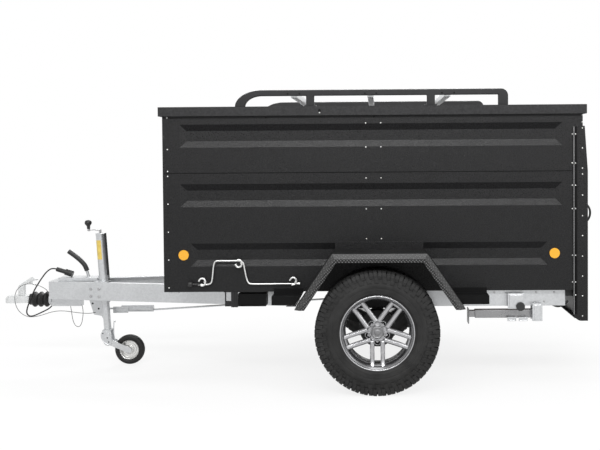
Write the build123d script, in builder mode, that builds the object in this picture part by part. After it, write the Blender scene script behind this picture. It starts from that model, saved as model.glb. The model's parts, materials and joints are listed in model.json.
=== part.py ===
from build123d import *
from math import atan2, cos, hypot, pi, radians, sin, sqrt, tan
import os

os.makedirs("parts", exist_ok=True)

# Off-road box trailer on one axle, parked on its jockey wheel.
# X runs rearward from the coupling, Y to the right-hand side, Z up.
# The origin is on the ground below the middle of the whole outline.
# The _left pieces lie on the -Y side. Stations along X are counted
# rearward from the outer face of the box's front wall.

# Driving dimensions of the whole trailer
nose_reach = 1247          # coupling nose ahead of the front wall
box_length = 2550
latch_reach = 61           # latch levers behind the walls' rear ends
box_width = 1350
box_bottom = 578
lower_tier = 725           # height of the lower wall panels
upper_tier = 347
wall = 20
floor_thick = 20
axle_station = 1300
tyre_radius = 367.5
tyre_width = 236
fender_reach = 963         # outermost face of a fender from the middle
sheet = 4                  # folded steel sheet
slip = 0.3                 # gap where one body lies on another
free_gap = 5               # gap beside a moving panel
overrun_cut = 10           # how far a cutting tool passes its surface

rear_reach = box_length + latch_reach
box_front = (nose_reach - rear_reach) / 2
seam_height = box_bottom + lower_tier
wall_top = seam_height + upper_tier
half_box = box_width / 2
half_inside = half_box - wall


def station(distance):
    return box_front + distance


def across(y):
    # upright plane at y, its sketch seen as X and Z, extruding towards -Y
    return Plane.XZ.offset(-y)


def facing_rear(x):
    # upright plane at x, its sketch seen as Y and Z, extruding towards +X
    return Plane.YZ.offset(x)


def level(z):
    return Plane.XY.offset(z)


def write(piece, label):
    piece.label = label
    export_step(piece, f"parts/{label}.step")


def other_side(piece):
    with BuildPart() as mirrored:
        mirror(piece, about=Plane.XZ)
    return mirrored.part


def both_sides(piece):
    with BuildPart() as pair:
        add(piece)
        mirror(piece, about=Plane.XZ)
    return pair.part


def block(x_low, x_high, y_low, y_high, z_low, z_high, mode=Mode.ADD):
    # a plain block between six faces, for the part being built
    with BuildSketch(level(z_low)) as base:
        with Locations(((x_low + x_high) / 2, (y_low + y_high) / 2)):
            Rectangle(x_high - x_low, y_high - y_low)
    extrude(base.sketch, amount=z_high - z_low, mode=mode)


def skin(rings, mode=Mode.ADD):
    # a solid with flat faces between one ring of corners and the next, closed at both ends
    faces = [Face(Wire.make_polygon(ring)) for ring in (rings[0], rings[-1])]
    for low, high in zip(rings, rings[1:]):
        for here in range(len(low)):
            faces.append(Face(Wire.make_polygon((low[here - 1], low[here], high[here]))))
            faces.append(Face(Wire.make_polygon((low[here - 1], high[here], high[here - 1]))))
    add(Solid(Shell(faces)), mode=mode)


# Floor
floor_end_gap = 10         # the floor stops short of the walls' rear ends
with BuildPart() as floor_panel:
    block(station(wall), station(box_length - floor_end_gap), -half_inside, half_inside,
          box_bottom, box_bottom + floor_thick)
write(floor_panel.part, "floor_panel")

# Pressed grooves of the walls, one every third of the two tiers
groove_height = 140
groove_slope = 39
groove_depth = 12
groove_pitch = 362
groove_low = 804           # height of the lowest groove's middle
groove_front = 105
groove_rear = 125          # measured from the wall's rear end
reflector_radius = 31
reflector_thick = 8
reflector_front = 123
reflector_rear = 172       # measured from the wall's rear end
reflector_room = 12        # plain sheet between a reflector and the groove
seam_chamfer = 3
groove_heights = [groove_low + groove_pitch * step for step in range(3)]


def press_groove(plane, low, high, middle, mode=Mode.SUBTRACT):
    # one pressed groove with four sloping sides, from low to high along the sheet
    rings = []
    for depth, inset in ((0, 0), (groove_depth, groove_slope)):
        half = groove_height / 2 - inset
        rings.append([plane.from_local_coords((x, z, -depth))
                      for x, z in ((low + inset, middle - half), (high - inset, middle - half),
                                   (high - inset, middle + half), (low + inset, middle + half))])
    skin(rings, mode)


# Side walls, lower and upper tier
low_groove_front = reflector_front + reflector_radius + reflector_room
low_groove_rear = reflector_rear + reflector_radius + reflector_room
outer_side = across(-half_box)
with BuildPart() as side_wall_lower:
    block(station(0), station(box_length), -half_box, -half_inside, box_bottom, seam_height)
    press_groove(outer_side, station(low_groove_front), station(box_length - low_groove_rear),
                 groove_heights[0])
    press_groove(outer_side, station(groove_front), station(box_length - groove_rear),
                 groove_heights[1])
    seam_edge = side_wall_lower.edges().filter_by(Axis.X).group_by(Axis.Z)[-1].sort_by(Axis.Y)[0]
    chamfer(seam_edge, seam_chamfer)
with BuildPart() as side_wall_upper:
    block(station(0), station(box_length), -half_box, -half_inside, seam_height, wall_top)
    press_groove(outer_side, station(groove_front), station(box_length - groove_rear),
                 groove_heights[2])
for piece, name in ((side_wall_lower, "side_wall_lower"), (side_wall_upper, "side_wall_upper")):
    write(piece.part, name + "_left")
    write(other_side(piece.part), name + "_right")

# Front walls between the side walls
front_groove_margin = 75
front_plane = Plane(origin=(station(0), 0, 0), x_dir=(0, -1, 0), z_dir=(-1, 0, 0))
with BuildPart() as front_wall_lower:
    block(station(0), station(wall), -half_inside, half_inside, box_bottom, seam_height)
    for height in groove_heights[:2]:
        press_groove(front_plane, front_groove_margin - half_inside,
                     half_inside - front_groove_margin, height)
write(front_wall_lower.part, "front_wall_lower")
with BuildPart() as front_wall_upper:
    block(station(0), station(wall), -half_inside, half_inside, seam_height, wall_top)
    press_groove(front_plane, front_groove_margin - half_inside,
                 half_inside - front_groove_margin, groove_heights[2])
write(front_wall_upper.part, "front_wall_upper")

# Rear wall above the tailgate
gate_inner = box_length - free_gap
gate_thick = 33
gate_outer = gate_inner + gate_thick
gate_gap = 22              # below the tailgate
gate_low = box_bottom + gate_gap
rear_sheet_plane = facing_rear(station(box_length))
with BuildPart() as rear_wall_upper:
    block(station(box_length - wall), station(box_length), -half_inside, half_inside,
          seam_height, wall_top)
    press_groove(rear_sheet_plane, front_groove_margin - half_inside,
                 half_inside - front_groove_margin, groove_heights[2])
write(rear_wall_upper.part, "rear_wall_upper")

# Rear corner posts, folded round the ends of the side walls
post_lap = 60              # how far a post reaches forward over the side wall
post_depth = 30            # and how far it stands behind it
post_top_depth = 11.5
post_front = box_length - post_lap
post_rear = box_length + post_depth
post_top_rear = box_length + post_top_depth
post_drop = 76             # post's top below the walls' top
post_top = wall_top - post_drop
post_bottom = 390
post_foot_share = 0.75     # of the lap, rounded off at the foot
post_foot_front = post_front + post_lap * post_foot_share
post_corner_rise = 60
post_corner_share = 0.3    # of that rounding, where its middle lies
post_fold = 24
with BuildPart() as rear_post:
    with BuildSketch(across(-half_box)) as post_face:
        with BuildLine():
            Polyline((station(post_front), post_bottom + post_corner_rise),
                     (station(post_front), post_top), (station(post_top_rear), post_top),
                     (station(post_rear), seam_height), (station(post_rear), post_bottom),
                     (station(post_foot_front), post_bottom))
            ThreePointArc((station(post_foot_front), post_bottom),
                          (station(post_front + (post_foot_front - post_front) * post_corner_share),
                           post_bottom + post_corner_rise * post_corner_share),
                          (station(post_front), post_bottom + post_corner_rise))
        make_face()
    extrude(amount=sheet)
    with BuildSketch(across(-half_box + post_fold - sheet)) as fold_face:
        with BuildLine():
            Polyline((station(box_length), post_bottom), (station(box_length), post_top),
                     (station(post_top_rear), post_top), (station(post_rear), seam_height),
                     (station(post_rear), post_bottom), (station(box_length), post_bottom))
        make_face()
    extrude(amount=post_fold - sheet)
write(both_sides(rear_post.part), "rear_posts")

# Amber side reflectors
with BuildPart() as side_reflectors:
    for place in (reflector_front, box_length - reflector_rear):
        with BuildSketch(across(-half_box)):
            with Locations((station(place), groove_low)):
                Circle(reflector_radius)
        extrude(amount=reflector_thick)
write(both_sides(side_reflectors.part), "side_reflectors")

# Side members and cross members below the floor
member_height = 100
member_width = 60
member_inset = 15
member_side = half_inside - member_inset
member_front = 1100
member_rear_gap = 100      # from the walls' rear ends to the rear cross member
member_rear = box_length - member_rear_gap
coupling_member = 740      # cross member that the drawbar beams end against
front_rail_height = 13
beam_top = box_bottom - front_rail_height
member_bottom = box_bottom - member_height
with BuildPart() as side_member:
    # open C section, its web outwards
    block(station(member_front), station(member_rear), -member_side, -member_side + member_width,
          member_bottom, box_bottom)
    with BuildSketch(facing_rear(station(member_front))):
        with Locations((-member_side + sheet + (member_width - sheet) / 2,
                        (member_bottom + box_bottom) / 2)):
            Rectangle(member_width - sheet, member_height - 2 * sheet)
    extrude(amount=member_rear - member_front, mode=Mode.SUBTRACT)
write(both_sides(side_member.part), "side_members")

inner_reach = member_side - member_width


def channel(front, half, opening):
    # cross member of open C section between its flanges, open to the rear or to the front
    block(station(front), station(front + member_width), -half, half, member_bottom, box_bottom)
    hollow = front + opening * sheet
    block(station(hollow), station(hollow + member_width), -half, half,
          member_bottom + sheet, box_bottom - sheet, mode=Mode.SUBTRACT)


with BuildPart() as cross_members:
    # two between the side members, one for the drawbar, one flat rail at the front
    channel(member_front, inner_reach, 1)
    channel(member_rear - member_width, inner_reach, -1)
    channel(coupling_member, member_side, 1)
    block(station(wall), station(wall + member_width), -member_side, member_side,
          beam_top, box_bottom)
write(cross_members.part, "cross_members")

# Drawbar, two C beams that spread rearward from the overrun housing
beam_height = 120
beam_width = 45
beam_bottom = beam_top - beam_height
beam_nose = -924
beam_nose_side = 75        # outer face of a beam's nose from the middle
beam_end_inset = 264       # its rear end lies this far inside the box's side
beam_end_side = half_box - beam_end_inset
beam_run = coupling_member - beam_nose
beam_slope = (beam_end_side - beam_nose_side) / beam_run


def beam_side(distance):
    # outer face of a drawbar beam at a station
    return beam_nose_side + (distance - beam_nose) * beam_slope


with BuildPart() as drawbar_beam:
    with BuildSketch(level(beam_bottom)):
        with BuildLine():
            Polyline((station(beam_nose), -beam_nose_side),
                     (station(coupling_member), -beam_end_side),
                     (station(coupling_member), -beam_end_side + beam_width),
                     (station(beam_nose), -beam_nose_side + beam_width),
                     (station(beam_nose), -beam_nose_side))
        make_face()
    extrude(amount=beam_height)
    with BuildSketch(level(beam_bottom + sheet)):
        with BuildLine():
            Polyline((station(beam_nose), -beam_nose_side + sheet),
                     (station(coupling_member), -beam_end_side + sheet),
                     (station(coupling_member), -beam_end_side + beam_width + overrun_cut),
                     (station(beam_nose), -beam_nose_side + beam_width + overrun_cut),
                     (station(beam_nose), -beam_nose_side + sheet))
        make_face()
    extrude(amount=beam_height - 2 * sheet, mode=Mode.SUBTRACT)
write(both_sides(drawbar_beam.part), "drawbar_beams")

# Overrun housing between the beams' noses
coupling_axis = 434        # height of the drawbar tube's axis
housing_front = -929
housing_rear = -600
housing_low_rear = -720
housing_low = 390
housing_low_half = 42
housing_collar = 12        # the round collar ahead of the housing's face
housing_collar_wall = 14
housing_cap_rise = 22
housing_top = beam_top + housing_cap_rise
housing_cap_half = 60
housing_cap_front = -866
shaft_radius = 25
with BuildPart() as overrun_housing:
    # wedge that fills the mouth between the beams' webs
    with BuildSketch(level(beam_bottom + sheet)):
        with BuildLine():
            Polyline((station(beam_nose), -beam_nose_side + sheet),
                     (station(housing_rear), -beam_side(housing_rear) + sheet),
                     (station(housing_rear), beam_side(housing_rear) - sheet),
                     (station(beam_nose), beam_nose_side - sheet),
                     (station(beam_nose), -beam_nose_side + sheet))
        make_face()
    extrude(amount=beam_height - 2 * sheet)
    # cap that rises between the top flanges and lies over them
    cap_half = beam_nose_side - beam_width
    block(station(beam_nose), station(housing_rear), -cap_half, cap_half,
          beam_top - sheet, beam_top)
    block(station(housing_cap_front), station(housing_rear), -housing_cap_half, housing_cap_half,
          beam_top, housing_top)
    # nose casting round the drawbar tube, and its lower jaw
    block(station(beam_nose), station(housing_low_rear), -cap_half, cap_half,
          housing_low, beam_bottom + sheet)
    with BuildSketch(facing_rear(station(housing_front - housing_collar))):
        with Locations((0, coupling_axis)):
            Circle(shaft_radius + housing_collar_wall)
    extrude(amount=beam_nose - housing_front + housing_collar)
write(overrun_housing.part, "overrun_housing")

# Coupling head on the drawbar tube, with a socket for a 50 mm ball
ball_station = -1160
ball_height = 430
ball_radius = 25.25
socket_rim = 412           # height of the socket's lower rim
head_half = 36
head_rear = -1086
head_top = 462
head_taper_share = 0.75    # of its half width, left at the rear
head_rear_half = head_half * head_taper_share
head_front = station(-nose_reach) + head_half
head_slope_low = 438       # foot of the nose's sloping face
head_slope_reach = 26      # and how far back it runs
shaft_rear = housing_front - housing_collar
with BuildPart() as coupling_head:
    with BuildSketch(level(socket_rim)):
        with BuildLine():
            Polyline((head_front, head_half), (station(head_rear), head_rear_half),
                     (station(head_rear), -head_rear_half), (head_front, -head_half))
            ThreePointArc((head_front, -head_half), (station(-nose_reach), 0),
                          (head_front, head_half))
        make_face()
    extrude(amount=head_top - socket_rim)
    with BuildSketch(across(head_half)):
        Polygon((station(-nose_reach), head_slope_low),
                (station(-nose_reach + head_slope_reach), head_top),
                (station(-nose_reach - overrun_cut), head_top),
                (station(-nose_reach - overrun_cut), head_slope_low), align=None)
    extrude(amount=2 * head_half, mode=Mode.SUBTRACT)
    with BuildSketch(facing_rear(station(head_rear))):
        with Locations((0, coupling_axis)):
            Circle(shaft_radius)
    extrude(amount=shaft_rear - head_rear - slip)
    with Locations((station(ball_station), 0, ball_height)):
        Sphere(ball_radius, mode=Mode.SUBTRACT)
    with BuildSketch(level(socket_rim)):
        with Locations((station(ball_station), 0)):
            Circle(ball_radius)
    extrude(amount=ball_height - socket_rim, mode=Mode.SUBTRACT)
write(coupling_head.part, "coupling_head")

# Coupling handle, an upright foot with a grip that rises to the rear, and its catch
handle_width = 30
catch_width = 16
handle_profile = ((-1157, head_top), (-1113, head_top), (-1113, 532), (-1078, 550),
                  (-1044, 565), (-1028, 565), (-1024, 574), (-1048, 590), (-1066, 586),
                  (-1143, 538), (-1157, 528))
catch_profile = ((-1100, 541), (-1086, 546), (-1032, 524), (-1034, 533), (-1070, 556))
with BuildPart() as coupling_handle:
    for profile, width in ((handle_profile, handle_width), (catch_profile, catch_width)):
        with BuildSketch(across(width / 2)):
            Polygon(*[(station(x), z) for x, z in profile], align=None)
        extrude(amount=width)
write(coupling_handle.part, "coupling_handle")

# Bellows round the drawbar tube
bellows_front = -1077
bellows_rear = shaft_rear
bellows_radius = 52
bellows_neck = 38
bellows_collar = 13
bellows_folds = 3
fold_shares = (0.4, 0.6)   # of a fold, where its crest begins and ends
bellows_bore = shaft_radius + slip
bellows_pitch = (bellows_rear - slip - bellows_front - bellows_collar) / bellows_folds
with BuildPart() as bellows:
    with BuildSketch(Plane.XZ):
        with BuildLine():
            outline = [(station(bellows_front), coupling_axis + bellows_bore),
                       (station(bellows_front), coupling_axis + bellows_neck)]
            for fold in range(bellows_folds):
                start = station(bellows_front + bellows_collar) + fold * bellows_pitch
                outline += [(start, coupling_axis + bellows_neck)]
                outline += [(start + bellows_pitch * share, coupling_axis + bellows_radius)
                            for share in fold_shares]
            outline += [(station(bellows_rear) - slip, coupling_axis + bellows_neck),
                        (station(bellows_rear) - slip, coupling_axis + bellows_bore)]
            Polyline(*outline, close=True)
        make_face()
    revolve(axis=Axis((0, 0, coupling_axis), (1, 0, 0)))
write(bellows.part, "bellows")

# Handbrake lever on the housing
lever_side = 20
lever_radius = 11
grip_radius = 16
lever_points = ((-668, housing_top), (-685, 653), (-707, 705))
grip_points = ((-707, 705), (-798, 780))
with BuildPart() as handbrake_lever:
    for points, radius in ((lever_points, lever_radius), (grip_points, grip_radius)):
        with BuildLine() as lever_line:
            Polyline(*[(station(x), lever_side, z) for x, z in points])
        start = lever_line.wires()[0] @ 0
        with BuildSketch(Plane(origin=start, z_dir=lever_line.wires()[0] % 0)):
            Circle(radius)
        sweep(path=lever_line.wires()[0], transition=Transition.ROUND)
    split(bisect_by=level(housing_top), keep=Keep.TOP)
write(handbrake_lever.part, "handbrake_lever")

# Axle beam with its swing arms, stub axles and brake plates
axle_ahead = 160           # axle beam ahead of the wheels' centre
axle_width = 90
axle_inset = 75
axle_end = half_box - axle_inset
axle_bottom = member_bottom - axle_width
arm_thick = 32
arm_radius = 42
arm_end_radius = 34
stub_radius = 22
plate_radius = 112
plate_thick = 6
wheel_middle = 832.5
rim_face = 862             # mounting face of the rim from the middle
plate_inner = 690
drum_inner = plate_inner + plate_thick + slip
drum_radius = 108
drum_outer = 772
hub_radius = 62
stub_cover = 30            # the stub axle ends inside the hub
stub_end = rim_face - stub_cover
axle_center = axle_bottom + axle_width / 2
corner_share = 6           # a rounded corner's radius is this part of its side
with BuildPart() as axle_beam:
    with BuildSketch(across(axle_end)):
        with Locations((station(axle_station - axle_ahead), axle_center)):
            RectangleRounded(axle_width, axle_width, axle_width / corner_share)
    extrude(amount=2 * axle_end)
write(axle_beam.part, "axle_beam")

with BuildPart() as swing_arm:
    with BuildSketch(across(-axle_end)):
        with Locations((station(axle_station - axle_ahead), axle_center)):
            Circle(arm_radius)
        with Locations((station(axle_station), tyre_radius)):
            Circle(arm_end_radius)
        make_hull()
    extrude(amount=arm_thick)
    for radius, inner, outer in ((stub_radius, axle_end + arm_thick, stub_end),
                                 (plate_radius, plate_inner, plate_inner + plate_thick)):
        with BuildSketch(across(-inner)):
            with Locations((station(axle_station), tyre_radius)):
                Circle(radius)
        extrude(amount=outer - inner)
write(both_sides(swing_arm.part), "swing_arms")

# Brake drums, each with the hub that carries its rim
with BuildPart() as brake_drum:
    with BuildSketch(across(-drum_inner)):
        with Locations((station(axle_station), tyre_radius)):
            Circle(drum_radius)
            Circle(stub_radius + slip, mode=Mode.SUBTRACT)
    extrude(amount=drum_outer - drum_inner)
    with BuildSketch(across(-drum_outer)):
        with Locations((station(axle_station), tyre_radius)):
            Circle(hub_radius)
            Circle(stub_radius + slip, mode=Mode.SUBTRACT)
    extrude(amount=rim_face - slip - drum_outer)
write(brake_drum.part, "brake_drum_left")
write(other_side(brake_drum.part), "brake_drum_right")

# Rims with five pairs of spokes
wheel_center = (station(axle_station), tyre_radius)
rim_lip = 220              # radius of the rim's outer lip
rim_width = 203
barrel_radius = 198
barrel_wall = 7
lip_wall = 9
rim_disc_radius = 78
rim_disc_thick = 26
bore_radius = 33
spoke_pairs = 5
spoke_half_gap = 31        # from a pair's middle line to each spoke's
spoke_width = 27
spoke_tip_width = 22
spoke_depth = 24
spoke_dish = 8             # the spokes stand this far outside the disc
spoke_root_share = 0.45    # of the disc's radius, where the spokes begin
spoke_seat_share = 0.15    # of the barrel's wall, left outside the spokes' tips
bolt_head = 9
cap_radius = 37
cap_depth = 14
bolt_circle_radius = 56
bolt_radius = 7
rim_outer = wheel_middle + rim_width / 2
rim_inner = wheel_middle - rim_width / 2
spoke_root_face = rim_face + rim_disc_thick
with BuildPart() as rim:
    # barrel turned about the wheel's axis, its sketch seen as radius and width
    with BuildSketch(Plane(origin=(station(axle_station), 0, tyre_radius), x_dir=(1, 0, 0),
                           z_dir=(0, 0, 1))):
        with BuildLine():
            Polyline((barrel_radius - barrel_wall, -rim_inner), (rim_lip, -rim_inner),
                     (rim_lip, -rim_inner - lip_wall), (barrel_radius, -rim_inner - 2 * lip_wall),
                     (barrel_radius, -rim_outer + 2 * lip_wall), (rim_lip, -rim_outer + lip_wall),
                     (rim_lip, -rim_outer), (rim_lip - lip_wall, -rim_outer),
                     (barrel_radius - barrel_wall, -rim_outer + 2 * lip_wall), close=True)
        make_face()
    revolve(axis=Axis((station(axle_station), 0, tyre_radius), (0, 1, 0)))
    # hub disc on the mounting face
    with BuildSketch(across(-rim_face)):
        with Locations(wheel_center):
            Circle(rim_disc_radius)
    extrude(amount=rim_disc_thick)
    # twin spokes from the disc to the barrel, narrower at their tips
    root_radius = rim_disc_radius * spoke_root_share
    tip_edge = spoke_half_gap + spoke_tip_width / 2
    tip_radius = sqrt((barrel_radius - barrel_wall * spoke_seat_share) ** 2 - tip_edge ** 2)
    with BuildSketch(across(-spoke_root_face + spoke_depth)):
        with Locations(wheel_center):
            with PolarLocations(0, spoke_pairs, start_angle=-90):
                for half in (-spoke_half_gap, spoke_half_gap):
                    Polygon((root_radius, half - spoke_width / 2),
                            (tip_radius, half - spoke_tip_width / 2),
                            (tip_radius, half + spoke_tip_width / 2),
                            (root_radius, half + spoke_width / 2), align=None)
    extrude(amount=spoke_depth + spoke_dish)
    # bore for the hub's spigot, closed outside by a cap, and the five bolts
    with BuildSketch(across(-rim_face)):
        with Locations(wheel_center):
            Circle(bore_radius)
    extrude(amount=rim_disc_thick, mode=Mode.SUBTRACT)
    with BuildSketch(across(-spoke_root_face + slip)):
        with Locations(wheel_center):
            Circle(cap_radius)
    extrude(amount=cap_depth)
    with BuildSketch(across(-spoke_root_face)):
        with Locations(wheel_center):
            with PolarLocations(bolt_circle_radius, spoke_pairs, start_angle=-90):
                Circle(bolt_radius)
    extrude(amount=bolt_head)
write(rim.part, "rim_left")
write(other_side(rim.part), "rim_right")

# Tyres with lugged treads, made of flat facets round the axle
tread_base = 355           # radius between the lugs
groove_radius = 345        # and in the two grooves between the rows
groove_half = 100
side_radius = 308          # radius where the tyre is widest
side_half = tyre_width / 2
bead_band = 6
bead_half = rim_width / 2
bevel_radius = 340         # radius of the shoulder rows' outer faces
bevel_start = 97
bevel_end = 114
row_root = 315
middle_row_half = 44
shoulder_row_start = 52
lug_count = 20             # lugs in one row round the tyre
lug_share = 0.62           # of a lug's pitch, taken by its crown
lug_foot_share = 0.76      # and by its foot
facets = 2 * lug_count
bead_radius = (rim_lip + slip) / cos(pi / facets)


def facet_corners(radius):
    # corners of a facetted round, as angle and radius
    return [(number * 2 * pi / facets - pi / 2, radius) for number in range(facets)]


def lug_corners(crown, floor, shift=0):
    # corners of one row of lugs seen along the axle, five to a lug
    return [((number + shift + turn / 2) * 2 * pi / lug_count - pi / 2, radius)
            for number in range(lug_count)
            for turn, radius in ((-lug_foot_share, floor), (-lug_share, crown), (0, crown),
                                 (lug_share, crown), (lug_foot_share, floor))]


def round_skin(center, middle, sections, mode=Mode.ADD):
    # flat faces round a wheel's axle, each section as distance from the middle and corners
    skin([[(center[0] + radius * cos(angle), middle + distance, center[1] + radius * sin(angle))
           for angle, radius in corners] for distance, corners in sections], mode)


def round_band(center, middle, profile, mode=Mode.ADD):
    # a facetted round from its profile, as distance from the wheel's middle and radius
    round_skin(center, middle, [(distance, facet_corners(radius)) for distance, radius in profile],
               mode)


with BuildPart() as tyre:
    # the middle row, half a pitch behind the two shoulder rows
    middle_lugs = lug_corners(tyre_radius, tread_base, shift=1 / 2)
    round_skin(wheel_center, -wheel_middle,
               ((-middle_row_half, middle_lugs), (middle_row_half, middle_lugs)))
    shoulder_lugs = lug_corners(tyre_radius, tread_base)
    for way in (-1, 1):
        round_skin(wheel_center, -wheel_middle,
                   ((way * shoulder_row_start, shoulder_lugs), (way * bevel_start, shoulder_lugs),
                    (way * bevel_end, lug_corners(bevel_radius, bevel_radius))))
    round_band(wheel_center, -wheel_middle,
               ((-tyre_width, row_root), (tyre_width, row_root)), mode=Mode.SUBTRACT)
    # carcass from one bead over the sides and below the rows to the other, and its bore
    near_side = ((bead_half, bead_radius + bead_band), (side_half, side_radius),
                 (groove_half, groove_radius))
    far_side = tuple((-distance, radius) for distance, radius in reversed(near_side))
    round_band(wheel_center, -wheel_middle, near_side + far_side)
    round_band(wheel_center, -wheel_middle,
               ((-tyre_width, bead_radius), (tyre_width, bead_radius)), mode=Mode.SUBTRACT)
write(tyre.part, "tyre_left")
write(other_side(tyre.part), "tyre_right")

# Angular fenders over the wheels
fender_low = 514
fender_top = 799
fender_half_top = 261
fender_half_foot = 497
fender_lip = 24
fender_thick = 4
fender_inner = half_box
back_reach = (-255, 297)   # flat plate on the wall behind the wheel, from the axle
back_front = axle_station + back_reach[0]
back_rear = axle_station + back_reach[1]
back_low = 600
back_high = 880
back_thick = 2.5
fender_outline = [(-fender_half_foot, fender_low), (-fender_half_top, fender_top),
                  (fender_half_top, fender_top), (fender_half_foot, fender_low)]


def fender_band(depth):
    # the fender's angular arch as a band of one thickness, seen from the side
    with BuildSketch(across(-fender_inner)) as band:
        with BuildLine():
            Polyline(*[(station(axle_station) + x, z) for x, z in fender_outline])
            offset(amount=depth, side=Side.RIGHT)
        make_face()
        with Locations((station(axle_station), fender_low / 2)):
            Rectangle(2 * fender_reach, fender_low, mode=Mode.SUBTRACT)
    return band.sketch


with BuildPart() as fender:
    extrude(fender_band(fender_thick), amount=fender_reach - fender_inner)
    block(station(back_front), station(back_rear), -fender_inner - back_thick, -fender_inner,
          back_low, back_high)
    lip_shift = fender_inner - fender_reach + fender_thick
    lip_face = fender_band(fender_lip).moved(Location((0, lip_shift, 0)))
    extrude(lip_face, amount=fender_thick)
write(fender.part, "fender_left")
write(other_side(fender.part), "fender_right")

# Fender brackets, a stepped plate at each foot
bracket_front = 670
bracket_rear = 1967
bracket_top = 567
bracket_low = 515
bracket_reach = 130
with BuildPart() as fender_brackets:
    foot_slope = (fender_half_foot - fender_half_top) / (fender_top - fender_low)
    for end, way in ((bracket_front, -1), (bracket_rear, 1)):
        foot_low = axle_station + way * (fender_half_foot - (bracket_low - fender_low) * foot_slope)
        foot_high = axle_station + way * (fender_half_foot - (bracket_top - fender_low) * foot_slope)
        foot_under = axle_station + way * (fender_half_foot
                                           - (bracket_top - sheet - fender_low) * foot_slope)
        with BuildSketch(across(-fender_inner)):
            Polygon((station(end), bracket_top), (station(foot_high), bracket_top),
                    (station(foot_under), bracket_top - sheet),
                    (station(end), bracket_top - sheet), align=None)
        extrude(amount=bracket_reach)
        with BuildSketch(across(-fender_inner - bracket_reach + sheet)):
            Polygon((station(end), bracket_top), (station(foot_high), bracket_top),
                    (station(foot_low), bracket_low), (station(end), bracket_low), align=None)
        extrude(amount=sheet)
        with BuildSketch(across(-fender_inner)):
            Polygon((station(end), bracket_top), (station(foot_high), bracket_top),
                    (station(foot_high), box_bottom + floor_thick),
                    (station(end), box_bottom + floor_thick), align=None)
        extrude(amount=sheet)
write(both_sides(fender_brackets.part), "fender_brackets")

# Jockey wheel beside the drawbar's middle line, its tube leaning forward at the top
jockey_side = -62
jockey_wheel_radius = 100
jockey_wheel_width = 50
jockey_rim_radius = 64
jockey_tyre_profile = ((18, 66), (25, 85), (14, 100))     # from the middle, radius
jockey_wheel_station = -381
jockey_foot_station = -531
jockey_foot_height = 238
jockey_top_station = -573
jockey_top_height = 889
jockey_outer_radius = 30
jockey_inner_radius = 24.5
jockey_tube_gap = 0.7
jockey_outer_length = 470
jockey_overlap = 190       # inner tube held inside the outer one
jockey_cap = 12
lean = atan2(jockey_foot_station - jockey_top_station, jockey_top_height - jockey_foot_height)
tube_up = (-sin(lean), 0, cos(lean))
tube_top = Plane(origin=(station(jockey_top_station), jockey_side, jockey_top_height),
                 x_dir=(0, 1, 0), z_dir=tube_up)
with BuildPart() as jockey_outer_tube:
    with BuildSketch(tube_top.offset(-jockey_outer_length)):
        Circle(jockey_outer_radius)
        Circle(jockey_inner_radius + jockey_tube_gap, mode=Mode.SUBTRACT)
    extrude(amount=jockey_outer_length)
    with BuildSketch(tube_top.offset(-jockey_cap)):
        Circle(jockey_outer_radius)
    extrude(amount=jockey_cap)
write(jockey_outer_tube.part, "jockey_outer_tube")

# Clamp that holds the jockey tube on the left beam
clamp_length = 90
clamp_wall = 6
clamp_rise = -6            # clamp's middle above the beam's top flange
clamp_drop = (jockey_top_height - beam_top - clamp_rise) / cos(lean)
with BuildPart() as jockey_clamp:
    with BuildSketch(tube_top.offset(-clamp_drop - clamp_length / 2)):
        Circle(jockey_outer_radius + clamp_wall)
    extrude(amount=clamp_length)
    clamp_station = jockey_top_station + (jockey_top_height - beam_top) * tan(lean)
    block(station(clamp_station) - clamp_length / 2, station(clamp_station) + clamp_length / 2,
          -beam_side(clamp_station) + clamp_wall, jockey_side, beam_top, beam_top + clamp_wall)
    with BuildSketch(tube_top.offset(-clamp_drop - clamp_length)):
        Circle(jockey_outer_radius)
    extrude(amount=2 * clamp_length, mode=Mode.SUBTRACT)
write(jockey_clamp.part, "jockey_clamp")

# Winding crank on top of the jockey tube
crank_post_radius = 9
crank_post_rise = 22
crank_reach = 78
crank_bar = 10
knob_radius = 19
knob_stem_radius = 9
knob_rise = 62
knob_neck_share = 0.5      # of the knob's rise, where its stem ends
knob_crown_share = 0.7     # and where its widest part begins
with BuildPart() as jockey_crank:
    with BuildSketch(tube_top):
        Circle(crank_post_radius)
    extrude(amount=crank_post_rise)
    with BuildSketch(tube_top.offset(crank_post_rise - crank_bar)):
        SlotCenterPoint((0, crank_reach / 2), (0, crank_reach), 2 * crank_post_radius + sheet)
    extrude(amount=crank_bar)
    with BuildSketch(tube_top.offset(crank_post_rise)):
        with Locations((0, crank_reach)):
            Circle(knob_stem_radius)
    extrude(amount=knob_rise * knob_neck_share)
    with BuildSketch(tube_top.offset(crank_post_rise + knob_rise * knob_neck_share)):
        with Locations((0, crank_reach)):
            Circle(knob_stem_radius)
    with BuildSketch(tube_top.offset(crank_post_rise + knob_rise * knob_crown_share)):
        with Locations((0, crank_reach)):
            Circle(knob_radius)
    loft()
    with BuildSketch(tube_top.offset(crank_post_rise + knob_rise * knob_crown_share)):
        with Locations((0, crank_reach)):
            Circle(knob_radius)
    extrude(amount=knob_rise * (1 - knob_crown_share))
write(jockey_crank.part, "jockey_crank")

# Inner tube that winds up and down
jockey_length = hypot(jockey_foot_station - jockey_top_station,
                      jockey_top_height - jockey_foot_height)
tube_foot = tube_top.offset(-jockey_length)
with BuildPart() as jockey_inner_tube:
    with BuildSketch(tube_foot):
        Circle(jockey_inner_radius)
    extrude(amount=jockey_length - jockey_outer_length + jockey_overlap)
write(jockey_inner_tube.part, "jockey_inner_tube")

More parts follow.
